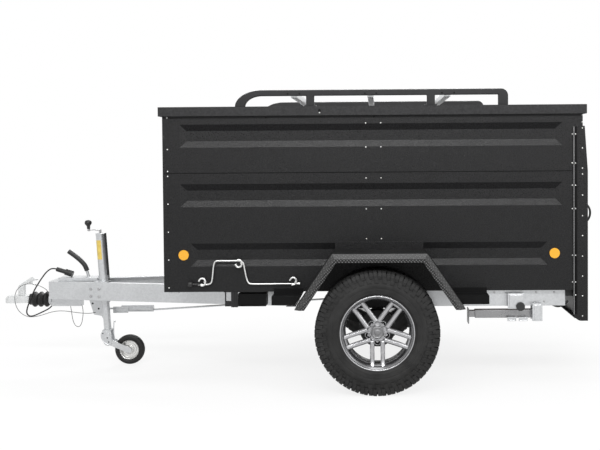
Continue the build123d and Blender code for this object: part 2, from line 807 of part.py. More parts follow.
# Fork that swivels below the inner tube and trails to the wheel
fork_plate_width = 58
fork_plate_length = 96
fork_plate_drop = 108
fork_arm = 6
fork_gap = 4
fork_axle_radius = 8
fork_half = jockey_wheel_width / 2 + fork_gap
fork_hub_radius = 19
fork_trail_share = 6       # the fork's lower round trails by its width over this
with BuildPart() as jockey_fork:
    with BuildSketch(tube_foot.offset(-slip - fork_arm)):
        Rectangle(2 * fork_half + 2 * fork_arm, fork_plate_width)
    extrude(amount=fork_arm)
    for side in (-1, 1):
        low = jockey_side + side * fork_half
        with BuildSketch(across(max(low, low + side * fork_arm))):
            with Locations((station(jockey_foot_station), jockey_foot_height - 2 * fork_arm)):
                Circle(fork_plate_width / 2)
            with Locations((station(jockey_foot_station) + fork_plate_width / fork_trail_share,
                            jockey_foot_height - fork_plate_drop + fork_plate_width / 2)):
                Circle(fork_plate_width / 2)
            make_hull()
            with Locations((0, jockey_foot_height - fork_arm + fork_plate_width)):
                Rectangle(4 * rear_reach, 2 * fork_plate_width, mode=Mode.SUBTRACT)
        extrude(amount=fork_arm)
        with BuildSketch(across(max(low, low + side * fork_arm))):
            with Locations((station(jockey_foot_station) + fork_plate_width / fork_trail_share,
                            jockey_foot_height - fork_plate_drop + fork_plate_width / 2)):
                Circle(fork_hub_radius)
            with Locations((station(jockey_wheel_station), jockey_wheel_radius)):
                Circle(fork_hub_radius)
            make_hull()
        extrude(amount=fork_arm)
    with BuildSketch(across(jockey_side + fork_half)):
        with Locations((station(jockey_wheel_station), jockey_wheel_radius)):
            Circle(fork_axle_radius)
    extrude(amount=2 * fork_half)
write(jockey_fork.part, "jockey_fork")

# Jockey wheel, a hub and disc in a rim, and its solid tyre
jockey_center = (station(jockey_wheel_station), jockey_wheel_radius)
jockey_rim_wall = 7
jockey_bore = (jockey_rim_radius + slip) / cos(pi / facets)
jockey_rim_half = 20
jockey_disc_half = 4
with BuildPart() as jockey_wheel:
    for half, radius, bore in ((jockey_wheel_width / 2, fork_hub_radius, fork_axle_radius + slip),
                               (jockey_disc_half, jockey_rim_radius, fork_hub_radius),
                               (jockey_rim_half, jockey_rim_radius,
                                jockey_rim_radius - jockey_rim_wall)):
        with BuildSketch(across(jockey_side + half)):
            with Locations(jockey_center):
                Circle(radius)
                Circle(bore, mode=Mode.SUBTRACT)
        extrude(amount=2 * half)
write(jockey_wheel.part, "jockey_wheel")
with BuildPart() as jockey_tyre:
    far_side = tuple((-distance, radius) for distance, radius in reversed(jockey_tyre_profile))
    round_band(jockey_center, jockey_side, jockey_tyre_profile + far_side)
    round_band(jockey_center, jockey_side,
               ((-jockey_wheel_width, jockey_bore), (jockey_wheel_width, jockey_bore)),
               mode=Mode.SUBTRACT)
write(jockey_tyre.part, "jockey_tyre")

# Brake gear below the drawbar: gusset plate, rod and spring tube
brake_side = 30
brake_plate_points = ((-690, beam_bottom + sheet), (-600, beam_bottom + sheet), (-575, 374),
                      (-560, 300), (-585, 289), (-600, 312), (-652, 322))
brake_plate_thick = 8
rod_radius = 6
spring_radius = 22.5
spring_front = -459
spring_rear = -241
spring_height = 362
rod_front = -590
rod_spread = 353           # height of the pull rod's front end in the spring tube
rod_end_height = 428       # and where it meets the axle beam
rod_rear = axle_station - axle_ahead - axle_width / 2
with BuildPart() as brake_linkage:
    with BuildSketch(across(brake_side + brake_plate_thick / 2)):
        Polygon(*[(station(x), z) for x, z in brake_plate_points], align=None)
    extrude(amount=brake_plate_thick)
    for low, high, radius in ((rod_front, spring_front, rod_radius),
                              (spring_front, spring_rear, spring_radius)):
        with BuildSketch(facing_rear(station(low))):
            with Locations((brake_side, spring_height)):
                Circle(radius)
        extrude(amount=high - low)
    # pull rod that rises from the spring tube to the axle beam
    rod_run = rod_rear - spring_rear
    rod_climb = rod_end_height - rod_spread
    with BuildSketch(Plane(origin=(station(spring_rear) - rod_radius, brake_side, rod_spread),
                           z_dir=(rod_run, 0, rod_climb))):
        Circle(rod_radius)
    extrude(amount=hypot(rod_run, rod_climb) + 4 * rod_radius)
    split(bisect_by=facing_rear(station(rod_rear) - slip), keep=Keep.BOTTOM)
write(brake_linkage.part, "brake_linkage")

# Stored crank for the steady legs, on three hooks along the left wall
crank_line_side = 700
crank_line_radius = 5.5
crank_bend = 20
crank_low = 628
crank_high = 772
crank_points = ((200, crank_low), (278, crank_low), (332, crank_high), (474, crank_high),
                (540, crank_low), (810, crank_low))
crank_knob_radius = 11
crank_knob_front = 148
crank_socket_radius = 10
crank_socket_rear = 833
with BuildPart() as stored_crank:
    with BuildLine() as crank_path:
        FilletPolyline(*[(station(x), -crank_line_side, z) for x, z in crank_points],
                       radius=crank_bend)
    with BuildSketch(facing_rear(station(crank_points[0][0]))):
        with Locations((-crank_line_side, crank_low)):
            Circle(crank_line_radius)
    sweep(path=crank_path.wires()[0])
    for low, high, radius in ((crank_knob_front, crank_points[0][0], crank_knob_radius),
                              (crank_points[-1][0], crank_socket_rear, crank_socket_radius)):
        with BuildSketch(facing_rear(station(low))):
            with Locations((-crank_line_side, crank_low)):
                Circle(radius)
        extrude(amount=high - low)
write(stored_crank.part, "stored_crank")

hook_width = 16
hook_thick = 4
hook_lip = 14
hook_places = ((234.5, crank_low), (452, crank_high), (788, crank_low))
with BuildPart() as crank_hooks:
    hook_seat = crank_line_radius + slip
    hook_out = crank_line_side + hook_seat + hook_thick
    for place, height in hook_places:
        low = height - hook_seat - hook_thick
        x_low = station(place) - hook_width / 2
        x_high = station(place) + hook_width / 2
        block(x_low, x_high, -hook_out, -half_box, low, low + hook_thick)
        block(x_low, x_high, -hook_out, -hook_out + hook_thick, low, low + hook_lip)
        block(x_low, x_high, -half_box - hook_thick, -half_box, low, low + 2 * hook_lip)
write(crank_hooks.part, "crank_hooks")

# Wheel chocks in holders below the floor
holder_front = 362
holder_bar = 86
holder_width = 30
chock_front = 449
chock_rear = 615
chock_low = 460
chock_high = 562
chock_inner = 550
chock_outer = 668
holder_plate = 4
holder_inset = 44          # the holder's bar lies this far outside the chock's inner face
holder_rise = 20           # and above its lower face
chock_toe = 16
chock_bow = (72, 46)       # middle of the chock's hollow, behind its front and above its foot
chock_crown = 24
with BuildPart() as chock_holder:
    block(station(holder_front), station(chock_rear), -chock_outer, -chock_inner,
          box_bottom - holder_plate, box_bottom)
    bar_side = -chock_inner - holder_inset
    bar_low = chock_low + holder_rise
    block(station(holder_front), station(chock_front - slip), bar_side - holder_width, bar_side,
          bar_low, bar_low + holder_width)
    block(station(holder_front), station(holder_front) + holder_plate, bar_side - holder_width,
          bar_side, bar_low, box_bottom - holder_plate)
write(both_sides(chock_holder.part), "chock_holders")
with BuildPart() as wheel_chock:
    with BuildSketch(across(-chock_inner)):
        with BuildLine():
            Line((station(chock_front), chock_high), (station(chock_front), chock_low))
            Line((station(chock_front), chock_low), (station(chock_rear), chock_low))
            Line((station(chock_rear), chock_low), (station(chock_rear), chock_low + chock_toe))
            ThreePointArc((station(chock_rear), chock_low + chock_toe),
                          (station(chock_front + chock_bow[0]), chock_low + chock_bow[1]),
                          (station(chock_front + chock_crown), chock_high))
            Line((station(chock_front + chock_crown), chock_high), (station(chock_front), chock_high))
        make_face()
    extrude(amount=chock_outer - chock_inner)
write(both_sides(wheel_chock.part), "wheel_chocks")

# Steady legs, swung up below the rear side members
steady_inset = 75
steady_side = half_box - steady_inset
steady_tube = 50
steady_pivot_gap = 270     # from the walls' rear ends to the pivot
steady_pivot_station = box_length - steady_pivot_gap
steady_pivot_height = member_bottom - 52
steady_pin_radius = 7
steady_tube_length = 380
steady_foot_reach = 43
steady_tube_front = steady_pivot_station - steady_tube_length
steady_foot_front = steady_tube_front - steady_foot_reach
steady_foot_thick = 5
steady_foot_height = 95
steady_plate = 5
steady_plate_reach = 31    # a bracket plate's half length along the member
steady_plate_drop = 42     # and its reach below the pivot
steady_plate_front = steady_pivot_station - steady_plate_reach
steady_plate_rear = steady_pivot_station + steady_plate_reach
steady_plate_low = steady_pivot_height - steady_plate_drop
steady_clip_reach = (-200, -73)       # the clip's ends ahead of the pivot
steady_clip_front = steady_pivot_station + steady_clip_reach[0]
steady_clip_rear = steady_pivot_station + steady_clip_reach[1]
steady_knob_reach = 100
steady_knob_station = steady_pivot_station - steady_knob_reach
steady_knob_radius = 28
steady_inner_tube = 40
steady_side_gap = 1
with BuildPart() as steady_leg:
    with BuildSketch(across(-steady_side + steady_tube / 2)):
        with Locations((station((steady_tube_front + steady_pivot_station) / 2),
                        steady_pivot_height)):
            Rectangle(steady_pivot_station - steady_tube_front, steady_tube)
        with Locations((station(steady_pivot_station), steady_pivot_height)):
            Circle(steady_tube / 2)
    extrude(amount=steady_tube)
    with BuildSketch(across(-steady_side + steady_tube / 2)):
        with Locations((station(steady_pivot_station), steady_pivot_height)):
            Circle(steady_pin_radius + slip)
    extrude(amount=steady_tube, mode=Mode.SUBTRACT)
    with BuildSketch(facing_rear(station(steady_tube_front))):
        with Locations((-steady_side, steady_pivot_height)):
            Rectangle(steady_inner_tube, steady_inner_tube)
    extrude(amount=steady_foot_front - steady_tube_front)
    with BuildSketch(facing_rear(station(steady_foot_front))):
        with Locations((-steady_side, steady_pivot_height - steady_tube / 4)):
            RectangleRounded(steady_foot_height, steady_foot_height, steady_foot_height / corner_share)
    extrude(amount=steady_foot_thick)
write(steady_leg.part, "steady_leg_left")
write(other_side(steady_leg.part), "steady_leg_right")
with BuildPart() as steady_brackets:
    leg_inner = steady_side - steady_tube / 2 - steady_side_gap
    leg_outer = steady_side + steady_tube / 2 + steady_side_gap
    block(station(steady_plate_front), station(steady_plate_rear), -leg_inner,
          -leg_inner + steady_plate, steady_plate_low, member_bottom)
    block(station(steady_plate_front), station(steady_plate_rear), -leg_outer - steady_plate,
          -leg_outer, steady_plate_low, member_bottom)
    block(station(steady_plate_front), station(steady_plate_rear), -leg_outer - steady_plate,
          -leg_inner + steady_plate, member_bottom - steady_plate, member_bottom)
    with BuildSketch(across(-leg_inner)):
        with Locations((station(steady_pivot_station), steady_pivot_height)):
            Circle(steady_pin_radius)
    extrude(amount=leg_outer - leg_inner)
    block(station(steady_clip_front), station(steady_clip_rear), -member_side - steady_plate,
          -member_side, member_bottom, box_bottom - sheet)
    with BuildSketch(across(-member_side - steady_plate)):
        with Locations((station(steady_knob_station), member_bottom + steady_knob_radius)):
            Circle(steady_knob_radius)
    extrude(amount=steady_knob_radius)
write(both_sides(steady_brackets.part), "steady_brackets")

# Lamp carrier between the rear posts, with lamps and a bare plate
carrier_gap = 20           # from the carrier's rear face to the walls' rear ends
carrier_depth = 30
carrier_low = 405
carrier_high = 535
carrier_rear = box_length - carrier_gap
carrier_front = carrier_rear - carrier_depth
lamp_depth = 42
lamp_width = 220
lamp_inset = 30
lamp_margin = 14           # carrier left above and below a lamp
lamp_rear = carrier_rear + lamp_depth
lamp_outer = half_box - lamp_inset
lamp_inner = lamp_outer - lamp_width
lamp_low = carrier_low + lamp_margin
lamp_high = carrier_high - lamp_margin
plate_half = 260
plate_margin = 10
plate_low = carrier_low + plate_margin
plate_high = carrier_high - plate_margin
plate_gap = 3
with BuildPart() as lamp_carrier:
    block(station(carrier_front), station(carrier_rear), -half_box, half_box,
          carrier_low, carrier_high)
    block(station(carrier_front - overrun_cut), station(carrier_rear - sheet), sheet - half_box,
          half_box - sheet, carrier_low + sheet, carrier_high - sheet, mode=Mode.SUBTRACT)
    # straps forward to the rear cross member
    for inner in (member_side - 2 * member_width, member_width - member_side):
        block(station(member_rear), station(carrier_front), inner, inner + member_width,
              carrier_high - sheet, carrier_high)
write(lamp_carrier.part, "lamp_carrier")
with BuildPart() as tail_lamp:
    block(station(carrier_rear), station(lamp_rear), -lamp_outer, -lamp_inner, lamp_low, lamp_high)
    fillet(tail_lamp.edges().filter_by(Axis.X), (lamp_high - lamp_low) / corner_share)
write(both_sides(tail_lamp.part), "tail_lamps")
with BuildPart() as number_plate:
    block(station(carrier_rear), station(carrier_rear + plate_gap), -plate_half, plate_half,
          plate_low, plate_high)
write(number_plate.part, "number_plate")

# Lid, a folded pan with a return flange that rests on the walls
lid_overhang = 20
lid_side_overhang = 25
lid_half = half_box + lid_side_overhang
lid_rise = 54              # lid's top above the walls
lid_top = wall_top + lid_rise
lid_lap = 2
lid_skirt_low = wall_top - lid_lap
lid_sheet = 4
lid_flange = 55
lid_seat = wall_top + slip
lid_front = -lid_overhang
lid_rear = box_length + lid_overhang

# Hinges of the lid and the tailgate
hinge_places = (-450, 0, 450)
hinge_knuckle = 40
hinge_cheek = 10
hinge_radius = 7
hinge_pin = 4
hinge_leaf = 70
hinge_rise = 8
hinge_height = lid_skirt_low + hinge_rise
gate_hinge_radius = 8
with BuildPart() as lid_panel:
    block(station(lid_front), station(lid_rear), -lid_half, lid_half, lid_skirt_low, lid_top)
    skirt_front = station(lid_front + lid_sheet)
    skirt_rear = station(lid_rear - lid_sheet)
    skirt_half = lid_half - lid_sheet
    block(skirt_front, skirt_rear, -skirt_half, skirt_half, lid_skirt_low, lid_seat,
          mode=Mode.SUBTRACT)
    block(skirt_front, skirt_rear, -skirt_half, skirt_half, lid_seat + lid_sheet,
          lid_top - lid_sheet, mode=Mode.SUBTRACT)
    block(skirt_front + lid_flange, skirt_rear - lid_flange, -skirt_half + lid_flange,
          skirt_half - lid_flange, lid_seat, lid_seat + lid_sheet, mode=Mode.SUBTRACT)
    # hinge knuckles on the front skirt
    for place in hinge_places:
        with BuildSketch(across(place + hinge_knuckle / 2)):
            with Locations((station(lid_front) - hinge_radius, hinge_height)):
                Circle(hinge_radius)
            with Locations((station(lid_front) - hinge_radius / 2, hinge_height)):
                Rectangle(hinge_radius, 2 * hinge_radius)
            with Locations((station(lid_front) - hinge_radius, hinge_height)):
                Circle(hinge_pin + slip, mode=Mode.SUBTRACT)
        extrude(amount=hinge_knuckle)
write(lid_panel.part, "lid_panel")

# Front hinge brackets that carry the lid
with BuildPart() as lid_hinges:
    for place in hinge_places:
        for way in (-1, 1):
            near = place + way * (hinge_knuckle / 2 + slip)
            cheek = across(max(near, near + way * hinge_cheek))
            with BuildSketch(cheek):
                with Locations((station(lid_front) - hinge_radius, hinge_height)):
                    Circle(hinge_radius)
                with Locations((station(lid_front) - hinge_radius,
                                lid_skirt_low - free_gap - hinge_radius)):
                    Circle(hinge_radius)
                make_hull()
                with Locations(((station(lid_front) - hinge_radius + station(0)) / 2,
                                lid_skirt_low - free_gap - hinge_radius)):
                    Rectangle(lid_overhang + hinge_radius, 2 * hinge_radius)
            extrude(amount=hinge_cheek)
        half = hinge_knuckle / 2 + slip + hinge_cheek
        block(station(-sheet), station(0), place - half, place + half,
              lid_skirt_low - free_gap - hinge_leaf, lid_skirt_low - free_gap)
        with BuildSketch(across(place + half)):
            with Locations((station(lid_front) - hinge_radius, hinge_height)):
                Circle(hinge_pin)
        extrude(amount=2 * half)
write(lid_hinges.part, "lid_hinges")

# Roof rails, one tube along each side of the lid with its feet and posts
rail_inset = 54            # from the lid's side to a rail's middle
rail_side = lid_half - rail_inset
rail_front = 441
rail_rear = 2102.5
rail_rise = 101
rail_top = lid_top + rail_rise
rail_height = 36
rail_width = 30
rail_post = 49
rail_posts = (900, 1634)
rail_foot = 76
rail_foot_thick = 10
rail_front_reach = 165     # how far the front curve sweeps back
rail_rear_round = 43
rail_rear_post = 60
rail_leg = 62
arc_middle_share = 1 - sqrt(2) / 2     # of a quarter circle's radius, to its middle
with BuildPart() as roof_rail:
    with BuildSketch(across(-rail_side + rail_width / 2)):
        with BuildLine():
            front_curve = EllipticalCenterArc((station(rail_front + rail_front_reach), lid_top),
                                              rail_front_reach, rail_top - lid_top,
                                              start_angle=90, arc_size=90)
            Line((station(rail_front + rail_front_reach), rail_top),
                 (station(rail_rear - rail_rear_round), rail_top))
            ThreePointArc((station(rail_rear - rail_rear_round), rail_top),
                          (station(rail_rear - rail_rear_round * arc_middle_share),
                           rail_top - rail_rear_round * arc_middle_share),
                          (station(rail_rear), rail_top - rail_rear_round))
            Polyline((station(rail_rear), rail_top - rail_rear_round), (station(rail_rear), lid_top),
                     (station(rail_front), lid_top))
        make_face()
        with BuildLine():
            EllipticalCenterArc((station(rail_front + rail_front_reach), lid_top),
                                rail_front_reach - rail_leg, rail_top - lid_top - rail_height,
                                start_angle=90, arc_size=90)
            Polyline((station(rail_front + rail_leg), lid_top),
                     (station(rail_rear - rail_rear_post), lid_top),
                     (station(rail_rear - rail_rear_post), rail_top - rail_height),
                     (station(rail_front + rail_front_reach), rail_top - rail_height))
        make_face(mode=Mode.SUBTRACT)
        for place in rail_posts:
            with Locations((station(place), (lid_top + rail_top - rail_height) / 2)):
                Rectangle(rail_post, rail_top - rail_height - lid_top)
    extrude(amount=rail_width)
    for place in rail_posts:
        block(station(place) - rail_foot / 2, station(place) + rail_foot / 2,
              -rail_side - rail_width / 2, -rail_side + rail_width / 2,
              lid_top, lid_top + rail_foot_thick)
write(both_sides(roof_rail.part), "roof_rails")

# Crossbars between the rails
bar_places = (799, 1267, 1736.5)
bar_width = 37
bar_height = 38
bar_drop = 8               # bar's top below the rail's top
with BuildPart() as crossbars:
    bar_half = rail_side - rail_width / 2
    for place in bar_places:
        block(station(place) - bar_width / 2, station(place) + bar_width / 2, -bar_half, bar_half,
              rail_top - bar_drop - bar_height, rail_top - bar_drop)
write(crossbars.part, "crossbars")

# Tailgate, hinged along its lower edge
gate_half = half_inside - free_gap
gate_high = seam_height - free_gap
gate_rim = 20              # folded rim round the tailgate's pressed sheet
gate_hinge_reach = 12
gate_hinge_station = gate_outer + gate_hinge_reach
gate_hinge_height = box_bottom + gate_hinge_radius
gate_hinge_places = (-480, 0, 480)
gate_strap = 5
gate_strap_height = 90
latch_inset = 35
latch_side = half_inside - latch_inset
latch_low = 984
latch_high = 1104
latch_width = 24
latch_bar = 9
with BuildPart() as tailgate:
    block(station(gate_inner), station(gate_outer), -gate_half, gate_half, gate_low, gate_high)
    block(station(gate_inner - overrun_cut), station(gate_outer - sheet), gate_rim - gate_half,
          gate_half - gate_rim, gate_low + gate_rim, gate_high - gate_rim, mode=Mode.SUBTRACT)
    gate_face = facing_rear(station(gate_outer))
    for height in groove_heights[:2]:
        press_groove(gate_face.offset(-sheet), front_groove_margin - gate_half,
                     gate_half - front_groove_margin, height, mode=Mode.ADD)
        press_groove(gate_face, front_groove_margin - gate_half,
                     gate_half - front_groove_margin, height)
    for place in gate_hinge_places:
        block(station(gate_outer), station(gate_outer) + gate_strap, place - hinge_knuckle / 2,
              place + hinge_knuckle / 2, gate_hinge_height, gate_low + gate_strap_height)
        with BuildSketch(across(place + hinge_knuckle / 2)):
            with Locations((station(gate_hinge_station), gate_hinge_height)):
                Circle(gate_hinge_radius)
        extrude(amount=hinge_knuckle)
        with BuildSketch(across(place + hinge_knuckle / 2)):
            with Locations((station(gate_hinge_station), gate_hinge_height)):
                Circle(hinge_pin + slip)
        extrude(amount=hinge_knuckle, mode=Mode.SUBTRACT)
write(tailgate.part, "tailgate")

with BuildPart() as tailgate_latch:
    latch_middle = (latch_low + latch_high) / 2
    block(station(gate_outer), station(gate_outer) + sheet, -latch_side - latch_width / 2,
          -latch_side + latch_width / 2, latch_low, latch_high)
    with BuildSketch(across(-latch_side + latch_width / 2)):
        with BuildLine():
            ThreePointArc((station(gate_outer) + sheet, latch_low),
                          (station(rear_reach), latch_middle),
                          (station(gate_outer) + sheet, latch_high))
            ThreePointArc((station(gate_outer) + sheet, latch_high - latch_bar),
                          (station(rear_reach) - latch_bar, latch_middle),
                          (station(gate_outer) + sheet, latch_low + latch_bar))
            Line((station(gate_outer) + sheet, latch_low),
                 (station(gate_outer) + sheet, latch_low + latch_bar))
            Line((station(gate_outer) + sheet, latch_high),
                 (station(gate_outer) + sheet, latch_high - latch_bar))
        make_face()
    extrude(amount=latch_width)
write(both_sides(tailgate_latch.part), "tailgate_latches")

# Rear sill with the tailgate's hinge cheeks and pins
sill_front = box_length - floor_end_gap
sill_rise = 12
sill_drop = 40
sill_high = box_bottom + sill_rise
sill_low = box_bottom - sill_drop
with BuildPart() as rear_sill:
    block(station(member_rear), station(gate_outer - sheet), -gate_half, gate_half,
          sill_low, box_bottom)
    block(station(member_rear + sheet), station(gate_outer - 2 * sheet), sheet - gate_half,
          gate_half - sheet, sill_low - overrun_cut, box_bottom - sheet, mode=Mode.SUBTRACT)
    block(station(sill_front + free_gap), station(gate_outer - sheet), -gate_half, gate_half,
          box_bottom, sill_high)
    for place in gate_hinge_places:
        for way in (-1, 1):
            near = place + way * (hinge_knuckle / 2 + slip)
            with BuildSketch(across(max(near, near + way * hinge_cheek))):
                with Locations((station(gate_hinge_station), gate_hinge_height)):
                    Circle(gate_hinge_radius)
                with Locations((station(gate_outer - sheet) - gate_hinge_radius,
                                gate_hinge_height - gate_hinge_radius)):
                    Circle(gate_hinge_radius)
                make_hull()
            extrude(amount=hinge_cheek)
        half = hinge_knuckle / 2 + slip + hinge_cheek
        with BuildSketch(across(place + half)):
            with Locations((station(gate_hinge_station), gate_hinge_height)):
                Circle(hinge_pin)
        extrude(amount=2 * half)
write(rear_sill.part, "rear_sill")

# Plug of the towing lead, lying on top of the housing
plug_points = ((-888, 642), (-778, 607.5))
plug_radius = 15
plug_nose_radius = 21
plug_nose_share = 0.55     # of the plug's length, where its body widens
plug_side = -18
lead_radius = 4.5
plug_length = hypot(plug_points[1][0] - plug_points[0][0], plug_points[1][1] - plug_points[0][1])
plug_way = ((plug_points[1][0] - plug_points[0][0]) / plug_length, 0,
            (plug_points[1][1] - plug_points[0][1]) / plug_length)
plug_plane = Plane(origin=(station(plug_points[0][0]), plug_side, plug_points[0][1]),
                   x_dir=(0, 1, 0), z_dir=plug_way)
with BuildPart() as lead_plug:
    with BuildSketch(plug_plane):
        Circle(plug_radius)
    extrude(amount=plug_length * plug_nose_share)
    with BuildSketch(plug_plane.offset(plug_length * plug_nose_share)):
        Circle(plug_nose_radius)
    extrude(amount=plug_length * (1 - plug_nose_share))
write(lead_plug.part, "lead_plug")

# Towing lead from the housing's jaw, forward and up in a bow to its plug
lead_points = ((-924, -2, 396), (-937, -4, 381), (-952, -8, 368), (-982, -14, 353),
               (-1014, -21, 338), (-1044, -30, 325), (-1070, -41, 323), (-1086, -51, 342),
               (-1082, -58, 374), (-1066, -61, 416), (-1050, -60, 458), (-1032, -52, 502),
               (-1010, -40, 544), (-986, -30, 584), (-956, -22, 626), (-918, -18, 651.4),
               (-888, -18, 642))

# Breakaway cable from the brake plate, forward and up beside the head, back to the housing
cable_radius = 2
cable_points = ((-640, 27, 336), (-672, 12, 331), (-718, -8, 337), (-768, -24, 346),
                (-820, -36, 357), (-872, -46, 361), (-922, -54, 353), (-970, -60, 337),
                (-1018, -65, 325), (-1066, -68, 323), (-1108, -68, 340), (-1142, -66, 374),
                (-1160, -63, 418), (-1163, -61, 466), (-1146, -60, 512), (-1108, -60, 542),
                (-1058, -60, 550), (-1010, -56, 541), (-972, -48, 521), (-945, -37, 498),
                (-936, -24, 461))

# Loop of wire that hangs below the housing's jaw
loop_points = ((-807, 10, 391), (-801, 6, 358), (-795, 3, 320), (-787, 0, 280), (-771, 0, 248),
               (-747, 0, 240), (-729, 0, 262), (-721, 3, 306), (-718, 6, 350), (-727, 10, 391))


arc_share = 0.45           # of the shorter run at a bend, taken by its arc


def cord(points, radius, smallest):
    # straight runs joined by arcs as large as the runs allow
    spots = [Vector(station(x), y, z) for x, y, z in points]
    radii = []
    for before, here, after in zip(spots, spots[1:], spots[2:]):
        turn = radians((here - before).get_angle(after - here))
        run = min((here - before).length, (after - here).length)
        radii.append(arc_share * run / tan(turn / 2))
    print("cord radii", [round(value) for value in radii], "smallest allowed", smallest)
    with BuildPart() as tube:
        with BuildLine() as route:
            FilletPolyline(*spots, radius=radii)
        path = route.wires()[0]
        with BuildSketch(Plane(origin=path @ 0, z_dir=path % 0)):
            Circle(radius)
        sweep(path=path)
    print("cord length", round(path.length), "volume share",
          round(tube.part.volume / (pi * radius ** 2 * path.length), 3))
    return tube.part


write(cord(lead_points, lead_radius, 5 * lead_radius), "towing_lead")
write(cord(cable_points, cable_radius, 5 * cable_radius), "breakaway_cable")
write(cord(loop_points, cable_radius, 5 * cable_radius), "wire_loop")
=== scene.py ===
import json
from math import pi, radians

import bmesh
import bpy
from mathutils import Matrix, Vector
from mathutils.bvhtree import BVHTree


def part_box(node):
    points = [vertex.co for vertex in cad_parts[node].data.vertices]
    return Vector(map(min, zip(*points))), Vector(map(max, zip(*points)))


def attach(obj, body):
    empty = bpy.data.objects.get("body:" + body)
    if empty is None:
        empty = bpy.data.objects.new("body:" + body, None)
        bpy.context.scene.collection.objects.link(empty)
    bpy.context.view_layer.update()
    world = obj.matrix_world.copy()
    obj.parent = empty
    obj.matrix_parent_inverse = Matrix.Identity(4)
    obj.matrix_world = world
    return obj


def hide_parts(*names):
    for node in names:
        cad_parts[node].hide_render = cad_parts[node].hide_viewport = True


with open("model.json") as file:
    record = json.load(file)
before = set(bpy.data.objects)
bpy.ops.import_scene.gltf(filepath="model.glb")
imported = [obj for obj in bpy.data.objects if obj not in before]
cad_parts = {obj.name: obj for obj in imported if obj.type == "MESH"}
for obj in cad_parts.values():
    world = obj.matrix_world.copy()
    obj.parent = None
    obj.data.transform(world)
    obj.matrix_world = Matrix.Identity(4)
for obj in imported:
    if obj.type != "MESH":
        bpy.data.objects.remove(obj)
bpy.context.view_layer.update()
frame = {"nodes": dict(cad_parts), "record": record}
nodes = frame["nodes"]
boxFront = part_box("side_wall_lower_left")[0].x  # stations along the trailer count from here
print("frame loaded:", len(nodes), "nodes")


def station(distance):
    return boxFront + distance


# camera at the photograph's place, with its off-centre framing
cameraFit = {
    "place": (0.626, -6.238, 1.41),
    "turn": (88.4702, 0.4009, 0.5794),
    "focal": 916.8,  # in pixels of a 600 pixel wide picture
    "middle": (368.3, 178.9),
    "picture": (600, 450),
    "sensor": 36,
}


def addCamera():
    width, height = cameraFit["picture"]
    bpy.ops.object.camera_add(location=cameraFit["place"],
                              rotation=[radians(angle) for angle in cameraFit["turn"]])
    camera = bpy.context.object
    camera.name = "camera"
    camera.data.sensor_fit = "HORIZONTAL"
    camera.data.sensor_width = cameraFit["sensor"]
    camera.data.lens = cameraFit["focal"] / width * cameraFit["sensor"]
    camera.data.shift_x = (width / 2 - cameraFit["middle"][0]) / width
    camera.data.shift_y = (cameraFit["middle"][1] - height / 2) / width
    bpy.context.scene.camera = camera


addCamera()
print("camera placed")


def placed(name, data):
    piece = bpy.data.objects.new(name, data)
    bpy.context.scene.collection.objects.link(piece)
    return piece


# small helpers for shader nodes
def newMaterial(name, colour, roughness, metallic=0.0, specular=0.5):
    material = bpy.data.materials.new(name)
    material.use_nodes = True
    tree = material.node_tree
    shader = tree.nodes["Principled BSDF"]
    shader.inputs["Base Color"].default_value = (*colour, 1)
    shader.inputs["Roughness"].default_value = roughness
    shader.inputs["Metallic"].default_value = metallic
    shader.inputs["Specular IOR Level"].default_value = specular
    material.diffuse_color = (*colour, 1)
    return material, tree, shader


def newGroup(name, inputs, outputs):
    tree = bpy.data.node_groups.new(name, "ShaderNodeTree")
    for label, value in inputs:
        tree.interface.new_socket(name=label, in_out="INPUT",
                                  socket_type="NodeSocketFloat").default_value = value
    for label in outputs:
        tree.interface.new_socket(name=label, in_out="OUTPUT", socket_type="NodeSocketFloat")
    return tree, tree.nodes.new("NodeGroupInput"), tree.nodes.new("NodeGroupOutput")


def placeGroup(tree, group, values):
    node = tree.nodes.new("ShaderNodeGroup")
    node.node_tree = group
    for label, value in values.items():
        node.inputs[label].default_value = value
    return node


def feed(tree, socket, value):
    if isinstance(value, (int, float)):
        socket.default_value = value
    else:
        tree.links.new(value, socket)


def calc(tree, operation, first, second=0.0, third=0.0):
    node = tree.nodes.new("ShaderNodeMath")
    node.operation = operation
    for socket, value in zip(node.inputs, (first, second, third)):
        feed(tree, socket, value)
    return node.outputs[0]


def plus(tree, first, second):
    return calc(tree, "ADD", first, second)


def minus(tree, first, second):
    return calc(tree, "SUBTRACT", first, second)


def times(tree, first, second):
    return calc(tree, "MULTIPLY", first, second)


def objectPlace(tree):
    return tree.nodes.new("ShaderNodeTexCoord").outputs["Object"]


def coordinateParts(tree, kind):
    parts = tree.nodes.new("ShaderNodeSeparateXYZ")
    tree.links.new(tree.nodes.new("ShaderNodeTexCoord").outputs[kind], parts.inputs[0])
    return parts


def noise(tree, vector, scale, detail=2.0, rough=0.5):
    node = tree.nodes.new("ShaderNodeTexNoise")
    tree.links.new(vector, node.inputs["Vector"])
    feed(tree, node.inputs["Scale"], scale)
    node.inputs["Detail"].default_value = detail
    node.inputs["Roughness"].default_value = rough
    return node.outputs["Fac"]


def spread(tree, value, low, high, lowest=0.0, highest=1.0):
    node = tree.nodes.new("ShaderNodeMapRange")
    tree.links.new(value, node.inputs["Value"])
    for label, number in (("From Min", low), ("From Max", high), ("To Min", lowest), ("To Max", highest)):
        node.inputs[label].default_value = number
    return node.outputs["Result"]


def blendColour(tree, factor, first, second):
    node = tree.nodes.new("ShaderNodeMix")
    node.data_type = "RGBA"
    feed(tree, node.inputs["Factor"], factor)
    for socket, colour in ((node.inputs["A"], first), (node.inputs["B"], second)):
        if isinstance(colour, tuple):
            socket.default_value = (*colour, 1)
        else:
            tree.links.new(colour, socket)
    return node.outputs["Result"]


